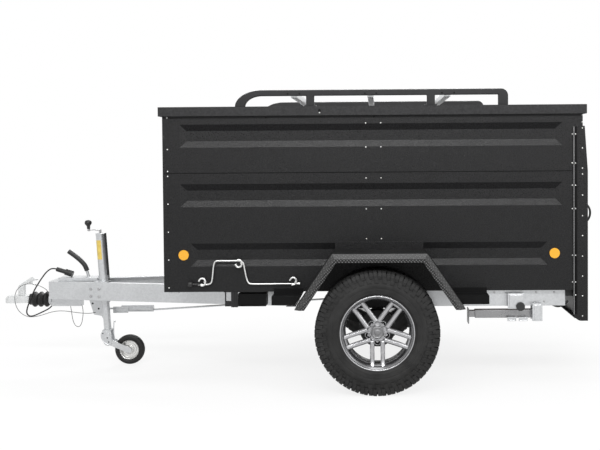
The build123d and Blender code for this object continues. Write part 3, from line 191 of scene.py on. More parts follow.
def raiseRelief(tree, shader, height, distance, strength=1.0):
    bump = tree.nodes.new("ShaderNodeBump")
    bump.inputs["Distance"].default_value = distance
    bump.inputs["Strength"].default_value = strength
    tree.links.new(height, bump.inputs["Height"])
    tree.links.new(bump.outputs["Normal"], shader.inputs["Normal"])


# shared effects: grain, soiling, zinc flowers and the lozenges of checker plate
def makeGrainGroup():
    tree, start, end = newGroup("fineGrain", [("Scale", 400.0), ("Cloud Scale", 4.0)], ["Height", "Cloud"])
    place = objectPlace(tree)
    fine = noise(tree, place, start.outputs["Scale"], 3.0, 0.6)
    cloud = noise(tree, place, start.outputs["Cloud Scale"], 5.0, 0.55)
    tree.links.new(spread(tree, fine, 0.3, 0.7), end.inputs["Height"])
    tree.links.new(spread(tree, cloud, 0.35, 0.65), end.inputs["Cloud"])
    return tree


def makeDustGroup():
    # dust gathers low down and in patches
    tree, start, end = newGroup("roadDust", [("Top", 0.6), ("Patch Scale", 9.0)], ["Mask"])
    place = objectPlace(tree)
    split = tree.nodes.new("ShaderNodeSeparateXYZ")
    tree.links.new(place, split.inputs[0])
    low = minus(tree, 1.0, calc(tree, "DIVIDE", split.outputs["Z"], start.outputs["Top"]))
    patch = noise(tree, place, start.outputs["Patch Scale"], 6.0, 0.6)
    mask = times(tree, spread(tree, low, 0.0, 1.0), spread(tree, patch, 0.35, 0.7))
    tree.links.new(mask, end.inputs["Mask"])
    return tree


def makeZincGroup():
    # crystals of a hot-dip coat, each with its own shade, and dull runs
    tree, start, end = newGroup("zincFlowers", [("Scale", 90.0), ("Run Scale", 7.0)],
                                ["Shade", "Height", "Runs"])
    place = objectPlace(tree)
    cells = tree.nodes.new("ShaderNodeTexVoronoi")
    tree.links.new(place, cells.inputs["Vector"])
    tree.links.new(start.outputs["Scale"], cells.inputs["Scale"])
    shade = tree.nodes.new("ShaderNodeSeparateColor")
    tree.links.new(cells.outputs["Color"], shade.inputs[0])
    runs = noise(tree, place, start.outputs["Run Scale"], 4.0, 0.5)
    tree.links.new(shade.outputs[0], end.inputs["Shade"])
    tree.links.new(cells.outputs["Distance"], end.inputs["Height"])
    tree.links.new(spread(tree, runs, 0.3, 0.7), end.inputs["Runs"])
    return tree


def makeCheckerGroup():
    # raised lozenges, turned left and right in turn, laid on each face by its normal
    tree, start, end = newGroup("checkerPlate", [("Pitch", 0.019), ("Slimness", 0.17)], ["Height"])
    place = coordinateParts(tree, "Object")
    facing = coordinateParts(tree, "Normal")
    side = calc(tree, "GREATER_THAN", calc(tree, "ABSOLUTE", facing.outputs["Y"]), 0.78)
    along = minus(tree, times(tree, place.outputs["X"], facing.outputs["Z"]),
                  times(tree, place.outputs["Z"], facing.outputs["X"]))
    swap = minus(tree, 1.0, side)
    u = plus(tree, times(tree, place.outputs["Y"], swap), times(tree, place.outputs["X"], side))
    v = plus(tree, times(tree, along, swap), times(tree, place.outputs["Z"], side))
    a = calc(tree, "DIVIDE", plus(tree, u, v), start.outputs["Pitch"])
    b = calc(tree, "DIVIDE", minus(tree, u, v), start.outputs["Pitch"])
    parity = calc(tree, "FLOORED_MODULO", plus(tree, calc(tree, "FLOOR", a), calc(tree, "FLOOR", b)), 2.0)
    inA = calc(tree, "ABSOLUTE", minus(tree, calc(tree, "FRACT", a), 0.5))
    inB = calc(tree, "ABSOLUTE", minus(tree, calc(tree, "FRACT", b), 0.5))
    other = minus(tree, 1.0, parity)
    shortWay = plus(tree, times(tree, inA, parity), times(tree, inB, other))
    longWay = plus(tree, times(tree, inB, parity), times(tree, inA, other))
    shortShare = calc(tree, "DIVIDE", shortWay, start.outputs["Slimness"])
    longShare = calc(tree, "DIVIDE", longWay, 0.48)
    height = minus(tree, minus(tree, 1.0, times(tree, shortShare, shortShare)),
                   times(tree, longShare, longShare))
    tree.links.new(spread(tree, height, 0.0, 0.7), end.inputs["Height"])
    return tree


grainGroup = makeGrainGroup()
dustGroup = makeDustGroup()
zincGroup = makeZincGroup()
checkerGroup = makeCheckerGroup()


# coatings: the darker and lighter colour of the speckle, its grain and its relief, and for texturedBlack the
# share of shine kept on faces that look down, a painted shade
coatColumns = ("dark", "light", "rough", "specular", "grain", "relief", "strength", "cloud", "under")
coats = {name: dict(zip(coatColumns, row)) for name, row in {
    "texturedBlack": ((0.004, 0.004, 0.0044), (0.012, 0.012, 0.0125), (0.22, 0.42), 0.23, 200.0, 0.001, 0.8,
                      150.0, 0.35),
    "satinBlack": ((0.008, 0.008, 0.0085), (0.015, 0.015, 0.016), (0.36, 0.46), 0.3, 700.0, 0.0002, 0.5),
    "blackPlastic": ((0.01, 0.01, 0.01), (0.022, 0.022, 0.022), (0.42, 0.55), 0.4, 1100.0, 0.0002, 0.5),
    "rubber": ((0.007, 0.007, 0.007), (0.014, 0.014, 0.014), (0.42, 0.56), 0.28, 900.0, 0.0003, 0.5),
    "lidBlack": ((0.007, 0.007, 0.0075), (0.018, 0.018, 0.019), (0.38, 0.5), 0.28, 300.0, 0.0006, 0.8, 95.0),
    # shadeBlack is a near black with little shine, used for painted shade: the bolt pocket floors, the gusset
    # holes, the wall seam and the post channels, and to make the black fender brackets and chock darker still
    "shadeBlack": ((0.002, 0.002, 0.0021), (0.005, 0.005, 0.0052), (0.5, 0.62), 0.1, 500.0, 0.0002, 0.4),
    "castBlack": ((0.012, 0.012, 0.012), (0.03, 0.03, 0.03), (0.5, 0.7), 0.4, 260.0, 0.0012, 0.8),
}.items()}


def makeCoat(name):
    coat = coats[name]
    material, tree, shader = newMaterial(name, coat["light"], coat["rough"][0], 0.0, coat["specular"])
    grain = placeGroup(tree, grainGroup, {"Scale": coat["grain"], "Cloud Scale": coat.get("cloud", 3.0)})
    colour = blendColour(tree, grain.outputs["Cloud"], coat["dark"], coat["light"])
    tree.links.new(colour, shader.inputs["Base Color"])
    tree.links.new(spread(tree, grain.outputs["Height"], 0.0, 1.0, *coat["rough"]),
                   shader.inputs["Roughness"])
    if "under" in coat:
        # painted shade: slopes that look down keep only the under share of their shine, so they render darker
        shade = calc(tree, "LESS_THAN", coordinateParts(tree, "Normal").outputs["Z"], -0.2)
        tree.links.new(spread(tree, shade, 0.0, 1.0, coat["specular"], coat["specular"] * coat["under"]),
                       shader.inputs["Specular IOR Level"])
    raiseRelief(tree, shader, grain.outputs["Height"], coat["relief"], coat["strength"])
    return material


def makeChecker():
    material, tree, shader = newMaterial("checkerBlack", (0.02, 0.02, 0.02), 0.42, 0.0, 0.5)
    checker = placeGroup(tree, checkerGroup, {"Pitch": 0.019, "Slimness": 0.17})
    grain = placeGroup(tree, grainGroup, {"Scale": 600.0, "Cloud Scale": 5.0})
    across = calc(tree, "ABSOLUTE", coordinateParts(tree, "Normal").outputs["Y"])
    # painted highlight: the bevelled edge is lighter and shinier, and the lip under it is dark with painted
    # highlights on its lozenges
    lip = calc(tree, "GREATER_THAN", across, 0.9)
    bevelHighlight = minus(tree, calc(tree, "GREATER_THAN", across, 0.4), lip)
    plate = blendColour(tree, grain.outputs["Cloud"], (0.005, 0.005, 0.005), (0.01, 0.01, 0.01))
    # painted highlight: a lighter colour on the bevel
    plate = blendColour(tree, bevelHighlight, plate, (0.032, 0.032, 0.032))
    # painted highlights on the lozenges: a small share on the top, more on the bevel, all of it on the lip
    share = plus(tree, 0.12, plus(tree, times(tree, bevelHighlight, 0.3), times(tree, lip, 0.88)))
    colour = blendColour(tree, times(tree, checker.outputs["Height"], share), plate, (0.17, 0.17, 0.17))
    # more shine on the bevel and the lip, for the painted highlight
    tree.links.new(spread(tree, plus(tree, bevelHighlight, lip), 0.0, 1.0, 0.1, 0.32),
                   shader.inputs["Specular IOR Level"])
    tree.links.new(colour, shader.inputs["Base Color"])
    height = plus(tree, checker.outputs["Height"], times(tree, grain.outputs["Height"], 0.08))
    raiseRelief(tree, shader, height, 0.0016)
    return material


metalColumns = ("dark", "light", "rough", "metallic", "flower", "relief")
metals = {name: dict(zip(metalColumns, row)) for name, row in {
    "galvanised": ((0.5, 0.51, 0.52), (0.6, 0.61, 0.62), (0.3, 0.38), 0.8, 110.0, 0.0001),
    "aluminiumBar": ((0.7, 0.71, 0.72), (0.8, 0.81, 0.82), (0.28, 0.38), 0.9, 260.0, 0.0001),
    "plated": ((0.62, 0.62, 0.61), (0.78, 0.78, 0.77), (0.24, 0.36), 0.85, 300.0, 0.0001),
    "castZinc": ((0.6, 0.61, 0.61), (0.74, 0.75, 0.75), (0.36, 0.48), 0.7, 160.0, 0.0006),
    "capGrey": ((0.16, 0.16, 0.165), (0.24, 0.24, 0.245), (0.38, 0.5), 0.7, 420.0, 0.0002),
    "brushedSteel": ((0.27, 0.27, 0.275), (0.34, 0.34, 0.345), (0.26, 0.36), 0.85, 260.0, 0.0002),
    "wornSteelAndHighlight": ((0.34, 0.34, 0.345), (0.46, 0.46, 0.465), (0.24, 0.36), 0.85, 260.0, 0.0001),
    "cableSteel": ((0.07, 0.07, 0.07), (0.13, 0.13, 0.13), (0.35, 0.5), 0.8, 900.0, 0.0002),
    "wheelGrey": ((0.17, 0.17, 0.175), (0.24, 0.24, 0.245), (0.2, 0.3), 0.9, 700.0, 0.0001),
    "alloySilver": ((0.36, 0.36, 0.37), (0.46, 0.46, 0.47), (0.24, 0.34), 0.85, 700.0, 0.0001),
}.items()}


def makeMetal(name):
    metal = metals[name]
    material, tree, shader = newMaterial(name, metal["light"], metal["rough"][0], metal["metallic"])
    zinc = placeGroup(tree, zincGroup, {"Scale": metal["flower"], "Run Scale": 6.0})
    mask = plus(tree, times(tree, zinc.outputs["Shade"], 0.6), times(tree, zinc.outputs["Runs"], 0.4))
    tree.links.new(blendColour(tree, mask, metal["dark"], metal["light"]), shader.inputs["Base Color"])
    tree.links.new(spread(tree, mask, 0.0, 1.0, *metal["rough"]), shader.inputs["Roughness"])
    raiseRelief(tree, shader, zinc.outputs["Height"], metal["relief"], 0.6)
    return material


def makeTyreRubber():
    material, tree, shader = newMaterial("tyreRubber", (0.02, 0.02, 0.02), 0.6, 0.0, 0.22)
    grain = placeGroup(tree, grainGroup, {"Scale": 500.0, "Cloud Scale": 14.0})
    dust = placeGroup(tree, dustGroup, {"Top": 0.9, "Patch Scale": 12.0})
    rubber = blendColour(tree, grain.outputs["Cloud"], (0.008, 0.008, 0.008), (0.017, 0.017, 0.017))
    mask = times(tree, dust.outputs["Mask"], 0.3)
    tree.links.new(blendColour(tree, mask, rubber, (0.045, 0.044, 0.042)), shader.inputs["Base Color"])
    tree.links.new(spread(tree, grain.outputs["Height"], 0.0, 1.0, 0.48, 0.64), shader.inputs["Roughness"])
    raiseRelief(tree, shader, grain.outputs["Height"], 0.0006)
    return material


def makeLens(name, deep, bright, facet):
    # moulded prisms below a smooth clear face
    material, tree, shader = newMaterial(name, bright, 0.2, 0.0, 0.5)
    place = objectPlace(tree)
    prisms = tree.nodes.new("ShaderNodeTexVoronoi")
    prisms.inputs["Scale"].default_value = facet
    prisms.inputs["Randomness"].default_value = 0.0
    tree.links.new(place, prisms.inputs["Vector"])
    mask = spread(tree, prisms.outputs["Distance"], 0.1, 0.7)
    tree.links.new(blendColour(tree, mask, bright, deep), shader.inputs["Base Color"])
    shader.inputs["Coat Weight"].default_value = 0.6
    shader.inputs["Coat Roughness"].default_value = 0.08
    raiseRelief(tree, shader, prisms.outputs["Distance"], 0.0006, 0.6)
    return material


def makePaint(name, base, roughness, scale, cloud, dark, light):
    material, tree, shader = newMaterial(name, base, roughness)
    grain = placeGroup(tree, grainGroup, {"Scale": scale, "Cloud Scale": cloud})
    tree.links.new(blendColour(tree, grain.outputs["Cloud"], dark, light), shader.inputs["Base Color"])
    raiseRelief(tree, shader, grain.outputs["Height"], 0.0001, 0.4)
    return material


def makePlywood():
    material, tree, shader = newMaterial("plywood", (0.12, 0.075, 0.045), 0.55)
    place = objectPlace(tree)
    stretch = tree.nodes.new("ShaderNodeMapping")
    stretch.inputs["Scale"].default_value = (1.0, 14.0, 14.0)
    tree.links.new(place, stretch.inputs["Vector"])
    grain = noise(tree, stretch.outputs["Vector"], 6.0, 8.0, 0.65)
    mask = spread(tree, grain, 0.3, 0.7)
    tree.links.new(blendColour(tree, mask, (0.055, 0.032, 0.02), (0.16, 0.1, 0.06)),
                   shader.inputs["Base Color"])
    raiseRelief(tree, shader, grain, 0.0005, 0.6)
    return material


finishes = {name: makeCoat(name) for name in coats}
finishes.update({name: makeMetal(name) for name in metals})
finishes["checkerBlack"] = makeChecker()
finishes["tyreRubber"] = makeTyreRubber()
finishes["amberLens"] = makeLens("amberLens", (0.66, 0.3, 0.004), (0.84, 0.46, 0.012), 210.0)
finishes["redLens"] = makeLens("redLens", (0.25, 0.004, 0.004), (0.6, 0.02, 0.015), 160.0)
finishes["whitePlate"] = makePaint("whitePlate", (0.8, 0.8, 0.78), 0.35, 900.0, 6.0,
                                   (0.74, 0.74, 0.72), (0.82, 0.82, 0.8))
finishes["plywood"] = makePlywood()
finishes["yellowSticker"] = makePaint("yellowSticker", (0.75, 0.55, 0.08), 0.4, 800.0, 30.0,
                                      (0.62, 0.45, 0.1), (0.8, 0.62, 0.16))
print("materials made:", len(finishes))

slotFinish = {
    "textured_black": "texturedBlack", "satin_black": "satinBlack", "checker_black": "checkerBlack",
    "galvanised": "galvanised", "aluminium_bar": "aluminiumBar", "wheel_black": "wheelGrey",
    "tyre_rubber": "tyreRubber", "black_plastic": "blackPlastic", "rubber": "rubber",
    "amber": "amberLens", "red_lens": "redLens", "white_plate": "whitePlate", "plywood": "plywood",
    "cast_black": "castBlack", "cable_steel": "cableSteel",
}
nodeFinish = {
    "lid_panel": "lidBlack", "rear_posts": "texturedBlack", "swing_arms": "castBlack",
    "steady_leg_left": "brushedSteel", "steady_leg_right": "brushedSteel",
    "coupling_head": "castZinc", "overrun_housing": "galvanised", "coupling_handle": "castZinc",
    "stored_crank": "plated", "crank_hooks": "plated", "jockey_fork": "galvanised",
    # the black fender brackets take shadeBlack, darker than their own black, as painted shade
    "fender_brackets": "shadeBlack", "brake_linkage": "galvanised", "handbrake_lever": "plated",
}


def paintNodes():
    for entry in frame["record"]["subparts"]:
        name = entry["node"]
        finish = finishes[nodeFinish.get(name, slotFinish[entry["material_slot"]])]
        mesh = nodes[name].data
        mesh.materials.clear()
        mesh.materials.append(finish)


paintNodes()
print("frame painted")


# cords: routes in metres, as stations from the box's front
towingLeadRoute = [
    (-0.924, -0.002, 0.396), (-0.937, -0.004, 0.381), (-0.952, -0.008, 0.368), (-0.982, -0.014, 0.353),
    (-1.014, -0.021, 0.338), (-1.044, -0.03, 0.325), (-1.07, -0.041, 0.323), (-1.086, -0.051, 0.342),
    (-1.082, -0.058, 0.374), (-1.066, -0.061, 0.416), (-1.05, -0.06, 0.458), (-1.032, -0.052, 0.502),
    (-1.01, -0.04, 0.544), (-0.986, -0.03, 0.584), (-0.956, -0.022, 0.626), (-0.918, -0.018, 0.6514),
    (-0.888, -0.018, 0.642),
]
breakawayRoute = [
    (-0.64, 0.027, 0.336), (-0.672, 0.012, 0.331), (-0.718, -0.008, 0.337), (-0.768, -0.024, 0.346),
    (-0.82, -0.036, 0.357), (-0.872, -0.046, 0.361), (-0.922, -0.054, 0.353), (-0.97, -0.06, 0.337),
    (-1.018, -0.065, 0.325), (-1.066, -0.068, 0.323), (-1.108, -0.068, 0.34), (-1.142, -0.066, 0.374),
    (-1.16, -0.063, 0.418), (-1.163, -0.061, 0.466), (-1.146, -0.06, 0.512), (-1.108, -0.06, 0.542),
    (-1.058, -0.06, 0.55), (-1.01, -0.056, 0.541), (-0.972, -0.048, 0.521), (-0.945, -0.037, 0.498),
    (-0.936, -0.024, 0.461),
]
wireLoopRoute = [
    (-0.807, 0.01, 0.391), (-0.801, 0.006, 0.358), (-0.795, 0.003, 0.32), (-0.787, 0.0, 0.28),
    (-0.771, 0.0, 0.248), (-0.747, 0.0, 0.24), (-0.729, 0.0, 0.262), (-0.721, 0.003, 0.306),
    (-0.718, 0.006, 0.35), (-0.727, 0.01, 0.391),
]


def smoothLine(name, route, radius, sides, steps):
    data = bpy.data.curves.new(name, "CURVE")
    data.dimensions = "3D"
    data.bevel_depth = radius
    data.bevel_resolution = sides
    data.resolution_u = steps
    data.use_fill_caps = True
    spline = data.splines.new("NURBS")
    spline.points.add(len(route) - 1)
    for point, place in zip(spline.points, route):
        point.co = (*place, 1)
    spline.order_u = 3
    spline.use_endpoint_u = True
    return placed(name, data)


def addCord(name, node, route, radius, finish):
    cord = smoothLine(name, [(station(distance), y, z) for distance, y, z in route], radius, 3, 10)
    cord.data.materials.append(finishes[finish])
    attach(cord, "chassis")
    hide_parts(node)
    return cord


towingLead = addCord("towingLead", "towing_lead", towingLeadRoute, 0.0045, "rubber")
breakawayCable = addCord("breakawayCable", "breakaway_cable", breakawayRoute, 0.002, "cableSteel")
wireLoop = addCord("wireLoop", "wire_loop", wireLoopRoute, 0.002, "cableSteel")
print("cords laid: 3")


# modelling helpers
facings = {
    "near": Matrix.Rotation(pi / 2, 4, "X"), "far": Matrix.Rotation(-pi / 2, 4, "X"),
    "rear": Matrix.Rotation(pi / 2, 4, "Y"), "front": Matrix.Rotation(-pi / 2, 4, "Y"), "up": Matrix(),
}
acrossTrailer = Matrix.Scale(-1, 4, (0, 1, 0))
ways = {
    "+x": Vector((1, 0, 0)), "-x": Vector((-1, 0, 0)), "-y": Vector((0, -1, 0)),
    "+z": Vector((0, 0, 1)), "-z": Vector((0, 0, -1)),
}
finishSlot = {finish: slot for slot, finish in slotFinish.items()}
finishSlot.update({
    "lidBlack": "textured_black", "shadeBlack": "black_plastic", "capGrey": "wheel_black",
    "alloySilver": "wheel_black", "brushedSteel": "galvanised", "wornSteelAndHighlight": "galvanised",
    "plated": "galvanised", "castZinc": "galvanised", "yellowSticker": "white_plate",
})


def clearPick():
    bpy.ops.object.select_all(action="DESELECT")


def takeUp(piece):
    clearPick()
    piece.select_set(True)
    bpy.context.view_layer.objects.active = piece


def begun(name):
    piece = bpy.context.object
    piece.name = piece.data.name = name
    bpy.ops.object.transform_apply(location=True, rotation=True, scale=True)
    return piece


def startBox(name, low, high):
    clearPick()
    bpy.ops.mesh.primitive_cube_add(size=1, location=[(a + b) / 2 for a, b in zip(low, high)],
                                    scale=[b - a for a, b in zip(low, high)])
    return begun(name)


def startRound(name, place, radius, depth, facing="up", sides=32):
    clearPick()
    bpy.ops.mesh.primitive_cylinder_add(vertices=sides, radius=radius, depth=depth, location=place,
                                        rotation=facings[facing].to_euler())
    return begun(name)


def openEdit(piece, kind="FACE"):
    takeUp(piece)
    bpy.ops.object.mode_set(mode="EDIT")
    bpy.ops.mesh.select_mode(type=kind)
    bpy.ops.mesh.select_all(action="DESELECT")


def closeEdit():
    bpy.ops.object.mode_set(mode="OBJECT")


def pickAll():
    bpy.ops.mesh.select_all(action="SELECT")


def pickFaces(piece, test):
    shape = bmesh.from_edit_mesh(piece.data)
    shape.normal_update()
    for face in shape.faces:
        face.select_set(test(face.calc_center_median(), face.normal))
    bmesh.update_edit_mesh(piece.data)


def pickSide(piece, way, least=0.9):
    pickFaces(piece, lambda middle, normal: normal.dot(ways[way]) > least)


def pressed(piece, way, *insets):
    # widths and depths of the insets on the faces that look one way
    openEdit(piece)
    pickSide(piece, way)
    for width, depth in insets:
        bpy.ops.mesh.inset(thickness=width, depth=depth)
    closeEdit()


def cutAcross(*places):
    pickAll()
    for place in places:
        bpy.ops.mesh.bisect(plane_co=(place, 0, 0), plane_no=(1, 0, 0))
        pickAll()


def bevelled(piece, width, steps, angle):
    takeUp(piece)
    trim = piece.modifiers.new("edgeRound", "BEVEL")
    trim.width = width
    trim.segments = steps
    trim.limit_method = "ANGLE"
    trim.angle_limit = radians(angle)
    bpy.ops.object.modifier_apply(modifier=trim.name)
    return piece


def rounded(piece, width, steps=2, angle=32):
    bevelled(piece, width, steps, angle)
    # the flat faces stay flat in the light, and only the narrow edge turns
    trim = piece.modifiers.new("faceWeight", "WEIGHTED_NORMAL")
    trim.keep_sharp = True
    bpy.ops.object.shade_smooth_by_angle(angle=radians(40))
    bpy.ops.object.modifier_apply(modifier=trim.name)
    return piece


def turned(name, profile, steps=48, matrix=Matrix()):
    # a closed profile of height and radius, spun round the Z axis and then placed
    mesh = bpy.data.meshes.new(name)
    corners = [(radius, 0, height) for height, radius in profile]
    mesh.from_pydata(corners, [(here, (here + 1) % len(corners)) for here in range(len(corners))], [])
    piece = placed(name, mesh)
    openEdit(piece, "VERT")
    pickAll()
    bpy.ops.mesh.spin(steps=steps, angle=2 * pi, center=(0, 0, 0), axis=(0, 0, 1))
    pickAll()
    bpy.ops.mesh.remove_doubles(threshold=0.00002)
    bpy.ops.mesh.delete_loose()
    pickAll()
    bpy.ops.mesh.normals_make_consistent(inside=False)
    closeEdit()
    piece.data.transform(matrix)
    bpy.ops.object.shade_smooth_by_angle(angle=radians(34))
    return piece


def tube(name, route, radius, sides=3):
    # a round bar along a smooth line, as a mesh
    takeUp(smoothLine(name, route, radius, sides, 8))
    bpy.ops.object.convert(target="MESH")
    bpy.ops.object.shade_smooth_by_angle(angle=radians(40))
    return bpy.context.object


def scattered(piece, name, matrices):
    # one mesh with a copy of the piece at each place
    gathered = bmesh.new()
    for matrix in matrices:
        copy = piece.data.copy()
        copy.transform(matrix)
        if matrix.determinant() < 0:
            copy.flip_normals()
        gathered.from_mesh(copy)
        bpy.data.meshes.remove(copy)
    mesh = bpy.data.meshes.new(name)
    gathered.to_mesh(mesh)
    gathered.free()
    bpy.data.objects.remove(piece)
    return placed(name, mesh)


def joined(name, *pieces):
    clearPick()
    for piece in pieces:
        piece.select_set(True)
    bpy.context.view_layer.objects.active = pieces[0]
    bpy.ops.object.join()
    pieces[0].name = pieces[0].data.name = name
    return pieces[0]


def dressed(piece, finish, body="chassis", stands=()):
    piece.data.materials.clear()
    piece.data.materials.append(finishes[finish])
    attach(piece, body)
    if stands:
        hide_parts(*stands)
    return piece


def pair(piece, finish, body="chassis", stands=()):
    # the piece on the near side, and its mirror image on the far side
    dressed(piece, finish, body, stands)
    mesh = piece.data.copy()
    mesh.transform(acrossTrailer)
    mesh.flip_normals()
    dressed(placed(piece.name.replace("Left", "Right"), mesh), finish, body.replace("left", "right"),
            [node.replace("left", "right") for node in stands])


def spot(x, y, z, facing, turn=0.0):
    return Matrix.Translation((x, y, z)) @ facings[facing] @ Matrix.Rotation(turn, 4, "Z")


faceTrees = {}


def touch(x, z, names, near=True):
    # where a line straight into the trailer's side first meets one of the nodes
    hits = []
    side = -1 if near else 1
    for name in names:
        if name not in faceTrees:
            mesh = nodes[name].data
            faceTrees[name] = BVHTree.FromPolygons([corner.co.copy() for corner in mesh.vertices],
                                                   [tuple(face.vertices) for face in mesh.polygons])
        place = faceTrees[name].ray_cast(Vector((x, 2 * side, z)), Vector((0, -side, 0)))[0]
        if place is not None:
            hits.append(place.y)
    return (min(hits) if near else max(hits)) if hits else None


def seated(places, names, near=True):
    # for stations and heights, the spots where they lie on the nodes' faces
    found = [(x, touch(x, z, names, near), z) for x, z in places]
    return [spot(x, y, z, "near" if near else "far") for x, y, z in found if y is not None]


bothSides = ((True, "Left"), (False, "Right"))


# folded and cast pieces keep the frame's shapes and get rounded edges
softEdges = {
    "lid_panel": 0.0028, "roof_rails": 0.007, "crossbars": 0.003,
    "drawbar_beams": 0.0022, "side_members": 0.0015, "cross_members": 0.0015, "rear_posts": 0.0012,
    "overrun_housing": 0.003, "coupling_head": 0.005, "coupling_handle": 0.003, "jockey_clamp": 0.0015,
    "fender_brackets": 0.0012, "lamp_carrier": 0.0012, "steady_leg_left": 0.0022, "steady_leg_right": 0.0022,
    "jockey_fork": 0.0012, "swing_arms": 0.002, "tailgate_latches": 0.002, "chock_holders": 0.001,
    "steady_brackets": 0.001, "brake_linkage": 0.0012, "number_plate": 0.0008,
    "tail_lamps": 0.0022,
}


def bodyOf(node):
    return next(body for body, names in frame["record"]["behaviour"]["bodies"].items() if node in names)


slotOf = {entry["node"]: entry["material_slot"] for entry in frame["record"]["subparts"]}


def softenNodes():
    for node, width in softEdges.items():
        source = nodes[node]
        words = node.split("_")
        piece = placed(words[0] + "".join(word.title() for word in words[1:]), source.data.copy())
        openEdit(piece)
        pickAll()
        bpy.ops.mesh.remove_doubles(threshold=0.00002)
        bpy.ops.mesh.dissolve_limited(angle_limit=radians(0.6))
        closeEdit()
        rounded(piece, width, 2, 24)
        dressed(piece, nodeFinish.get(node, slotFinish[slotOf[node]]), bodyOf(node), (node,))
    print("edges rounded:", len(softEdges))


softenNodes()


# wheel: tyre with its tread blocks, in the wheel's own place (Z points out of the trailer)
wheel = {
    "x": 0.618, "side": -0.8325, "height": 0.3675, "pitches": 42, "gap": 0.0018,
    "shoulder": {"low": 0.068, "high": 0.098, "width": 0.0465, "skew": 0.1},
    "between": {"low": 0.028, "high": 0.062, "width": 0.043, "skew": -0.3},
    "middle": {"low": -0.021, "high": 0.021, "width": 0.042, "skew": 0.35},
    "foot": 0.35, "top": 0.3668,
}


def mirrored(half):
    # a profile's first half and its mirror image
    return half + [(-height, radius) for height, radius in reversed(half) if height]


carcass = mirrored([
    (-0.1005, 0.2215), (-0.1115, 0.232), (-0.1128, 0.2345), (-0.1148, 0.2355), (-0.116, 0.25),
    (-0.1172, 0.262), (-0.1165, 0.2645), (-0.1178, 0.268), (-0.1172, 0.288), (-0.1138, 0.294),
    (-0.1118, 0.31), (-0.1088, 0.322), (-0.1045, 0.338), (-0.1, 0.352), (-0.06, 0.358), (0.0, 0.359),
]) + mirrored([(0.092, 0.224), (0.104, 0.262), (0.106, 0.295), (0.088, 0.336), (0.0, 0.345)])
wheelPlace = spot(wheel["x"], wheel["side"], wheel["height"], "near")


def halfBlock(name, row, wrapped=False):
    # one half of a tread block, beside the narrow cut through its middle
    size = wheel[row]
    low = (wheel["foot"], wheel["gap"] / 2, size["low"])
    high = (wheel["top"], size["width"] / 2, size["high"])
    block = startBox(name, low, high)
    openEdit(block)
    if wrapped:
        for slide in ((-0.0085, 0, 0.0095), (-0.02, 0, 0.0065)):
            pickFaces(block, lambda middle, normal: normal.z > 0.6 and middle.z > size["high"] - 0.001)
            bpy.ops.mesh.extrude_region_move(TRANSFORM_OT_translate={"value": slide})
            size = dict(size, high=size["high"] + slide[2])
    pickSide(block, "+x")
    bpy.ops.mesh.inset(thickness=0.0016, depth=0.0)
    bpy.ops.transform.translate(value=(0.0006, 0, 0))
    closeEdit()
    block.data.transform(Matrix.Translation((-0.0006, 0, 0)))
    return bevelled(block, 0.0011, 1, 35)


def blockRow(row, name, shift, wrapped=False, turned180=False):
    size = wheel[row]
    count = wheel["pitches"]
    middle = (size["low"] + size["high"]) / 2
    over = Matrix.Rotation(pi, 4, "X") if turned180 else Matrix()
    places = []
    for number in range(count):
        turn = 2 * pi * (number + shift) / count
        for half in (Matrix(), acrossTrailer):
            skew = (Matrix.Translation((0, 0, middle)) @ Matrix.Rotation(size["skew"], 4, "X")
                    @ Matrix.Translation((0, 0, -middle)))
            places.append(Matrix.Rotation(turn, 4, "Z") @ over @ skew @ half)
    return scattered(halfBlock(name + "Half", row, wrapped), name, places)


def sideRibs(name, far):
    # short raised bars below the shoulder blocks
    bar = startBox(name + "Bar", (0.296, -0.0125, 0.108), (0.339, 0.0125, 0.1166))
    openEdit(bar)
    pickSide(bar, "+x")
    bpy.ops.transform.translate(value=(0, 0.005, -0.007))
    pickSide(bar, "+z", 0.6)
    bpy.ops.mesh.inset(thickness=0.003, depth=0.0)
    bpy.ops.transform.translate(value=(0, 0, 0.0008))
    closeEdit()
    over = Matrix.Rotation(pi, 4, "X") if far else Matrix()
    count = wheel["pitches"]
    return scattered(bar, name, [Matrix.Rotation(2 * pi * (step + 0.5) / count, 4, "Z") @ over
                                 for step in range(count)])


def makeTyre():
    body = turned("tyreBody", carcass, 96)
    rows = [
        blockRow("shoulder", "shoulderNear", 0.0, True), blockRow("shoulder", "shoulderFar", 0.5, True, True),
        blockRow("between", "innerNear", 0.35), blockRow("between", "innerFar", 0.85, False, True),
        blockRow("middle", "tyreMiddle", 0.1), sideRibs("ribsNear", False), sideRibs("ribsFar", True),
    ]
    tyre = joined("roadTyreLeft", body, *rows)
    tyre.data.transform(wheelPlace)
    return tyre


pair(makeTyre(), "tyreRubber", "wheel_left", ("tyre_left",))
print("tyres shaped")

# alloy wheel: barrel, five pairs of spokes, hub with its bolts and a plain cap
rim = {
    "pairs": 5, "halfGap": 0.031, "innerRadius": 0.05, "outerRadius": 0.2095, "back": 0.0315, "face": 0.056,
    "ridge": 0.0065, "width": 0.0265, "boltRadius": 0.056,
    "cuts": (0.14, 0.16, 0.178, 0.194), "sweepRun": 0.0695, "sweepRise": 0.026, "thinning": (0.045, 0.008),
    "bridge": ((0.186, -0.026, 0.056), (0.207, 0.026, 0.074)),
    "bolt": {"radius": 0.0072, "height": 0.018, "at": 0.048},
}
barrel = [
    (0.101, 0.219), (0.1005, 0.214), (0.0965, 0.2125), (0.094, 0.211), (0.09, 0.2045), (0.082, 0.1985),
    (0.07, 0.195), (0.066, 0.1925), (0.05, 0.1915), (0.046, 0.188), (0.042, 0.188), (0.038, 0.1905),
    (0.01, 0.1895), (-0.055, 0.19), (-0.085, 0.202), (-0.098, 0.212), (-0.101, 0.219), (-0.095, 0.2195),
    (-0.09, 0.209), (-0.075, 0.2), (-0.055, 0.1975), (0.06, 0.1975), (0.08, 0.2045), (0.089, 0.211),
    (0.095, 0.2195),
]
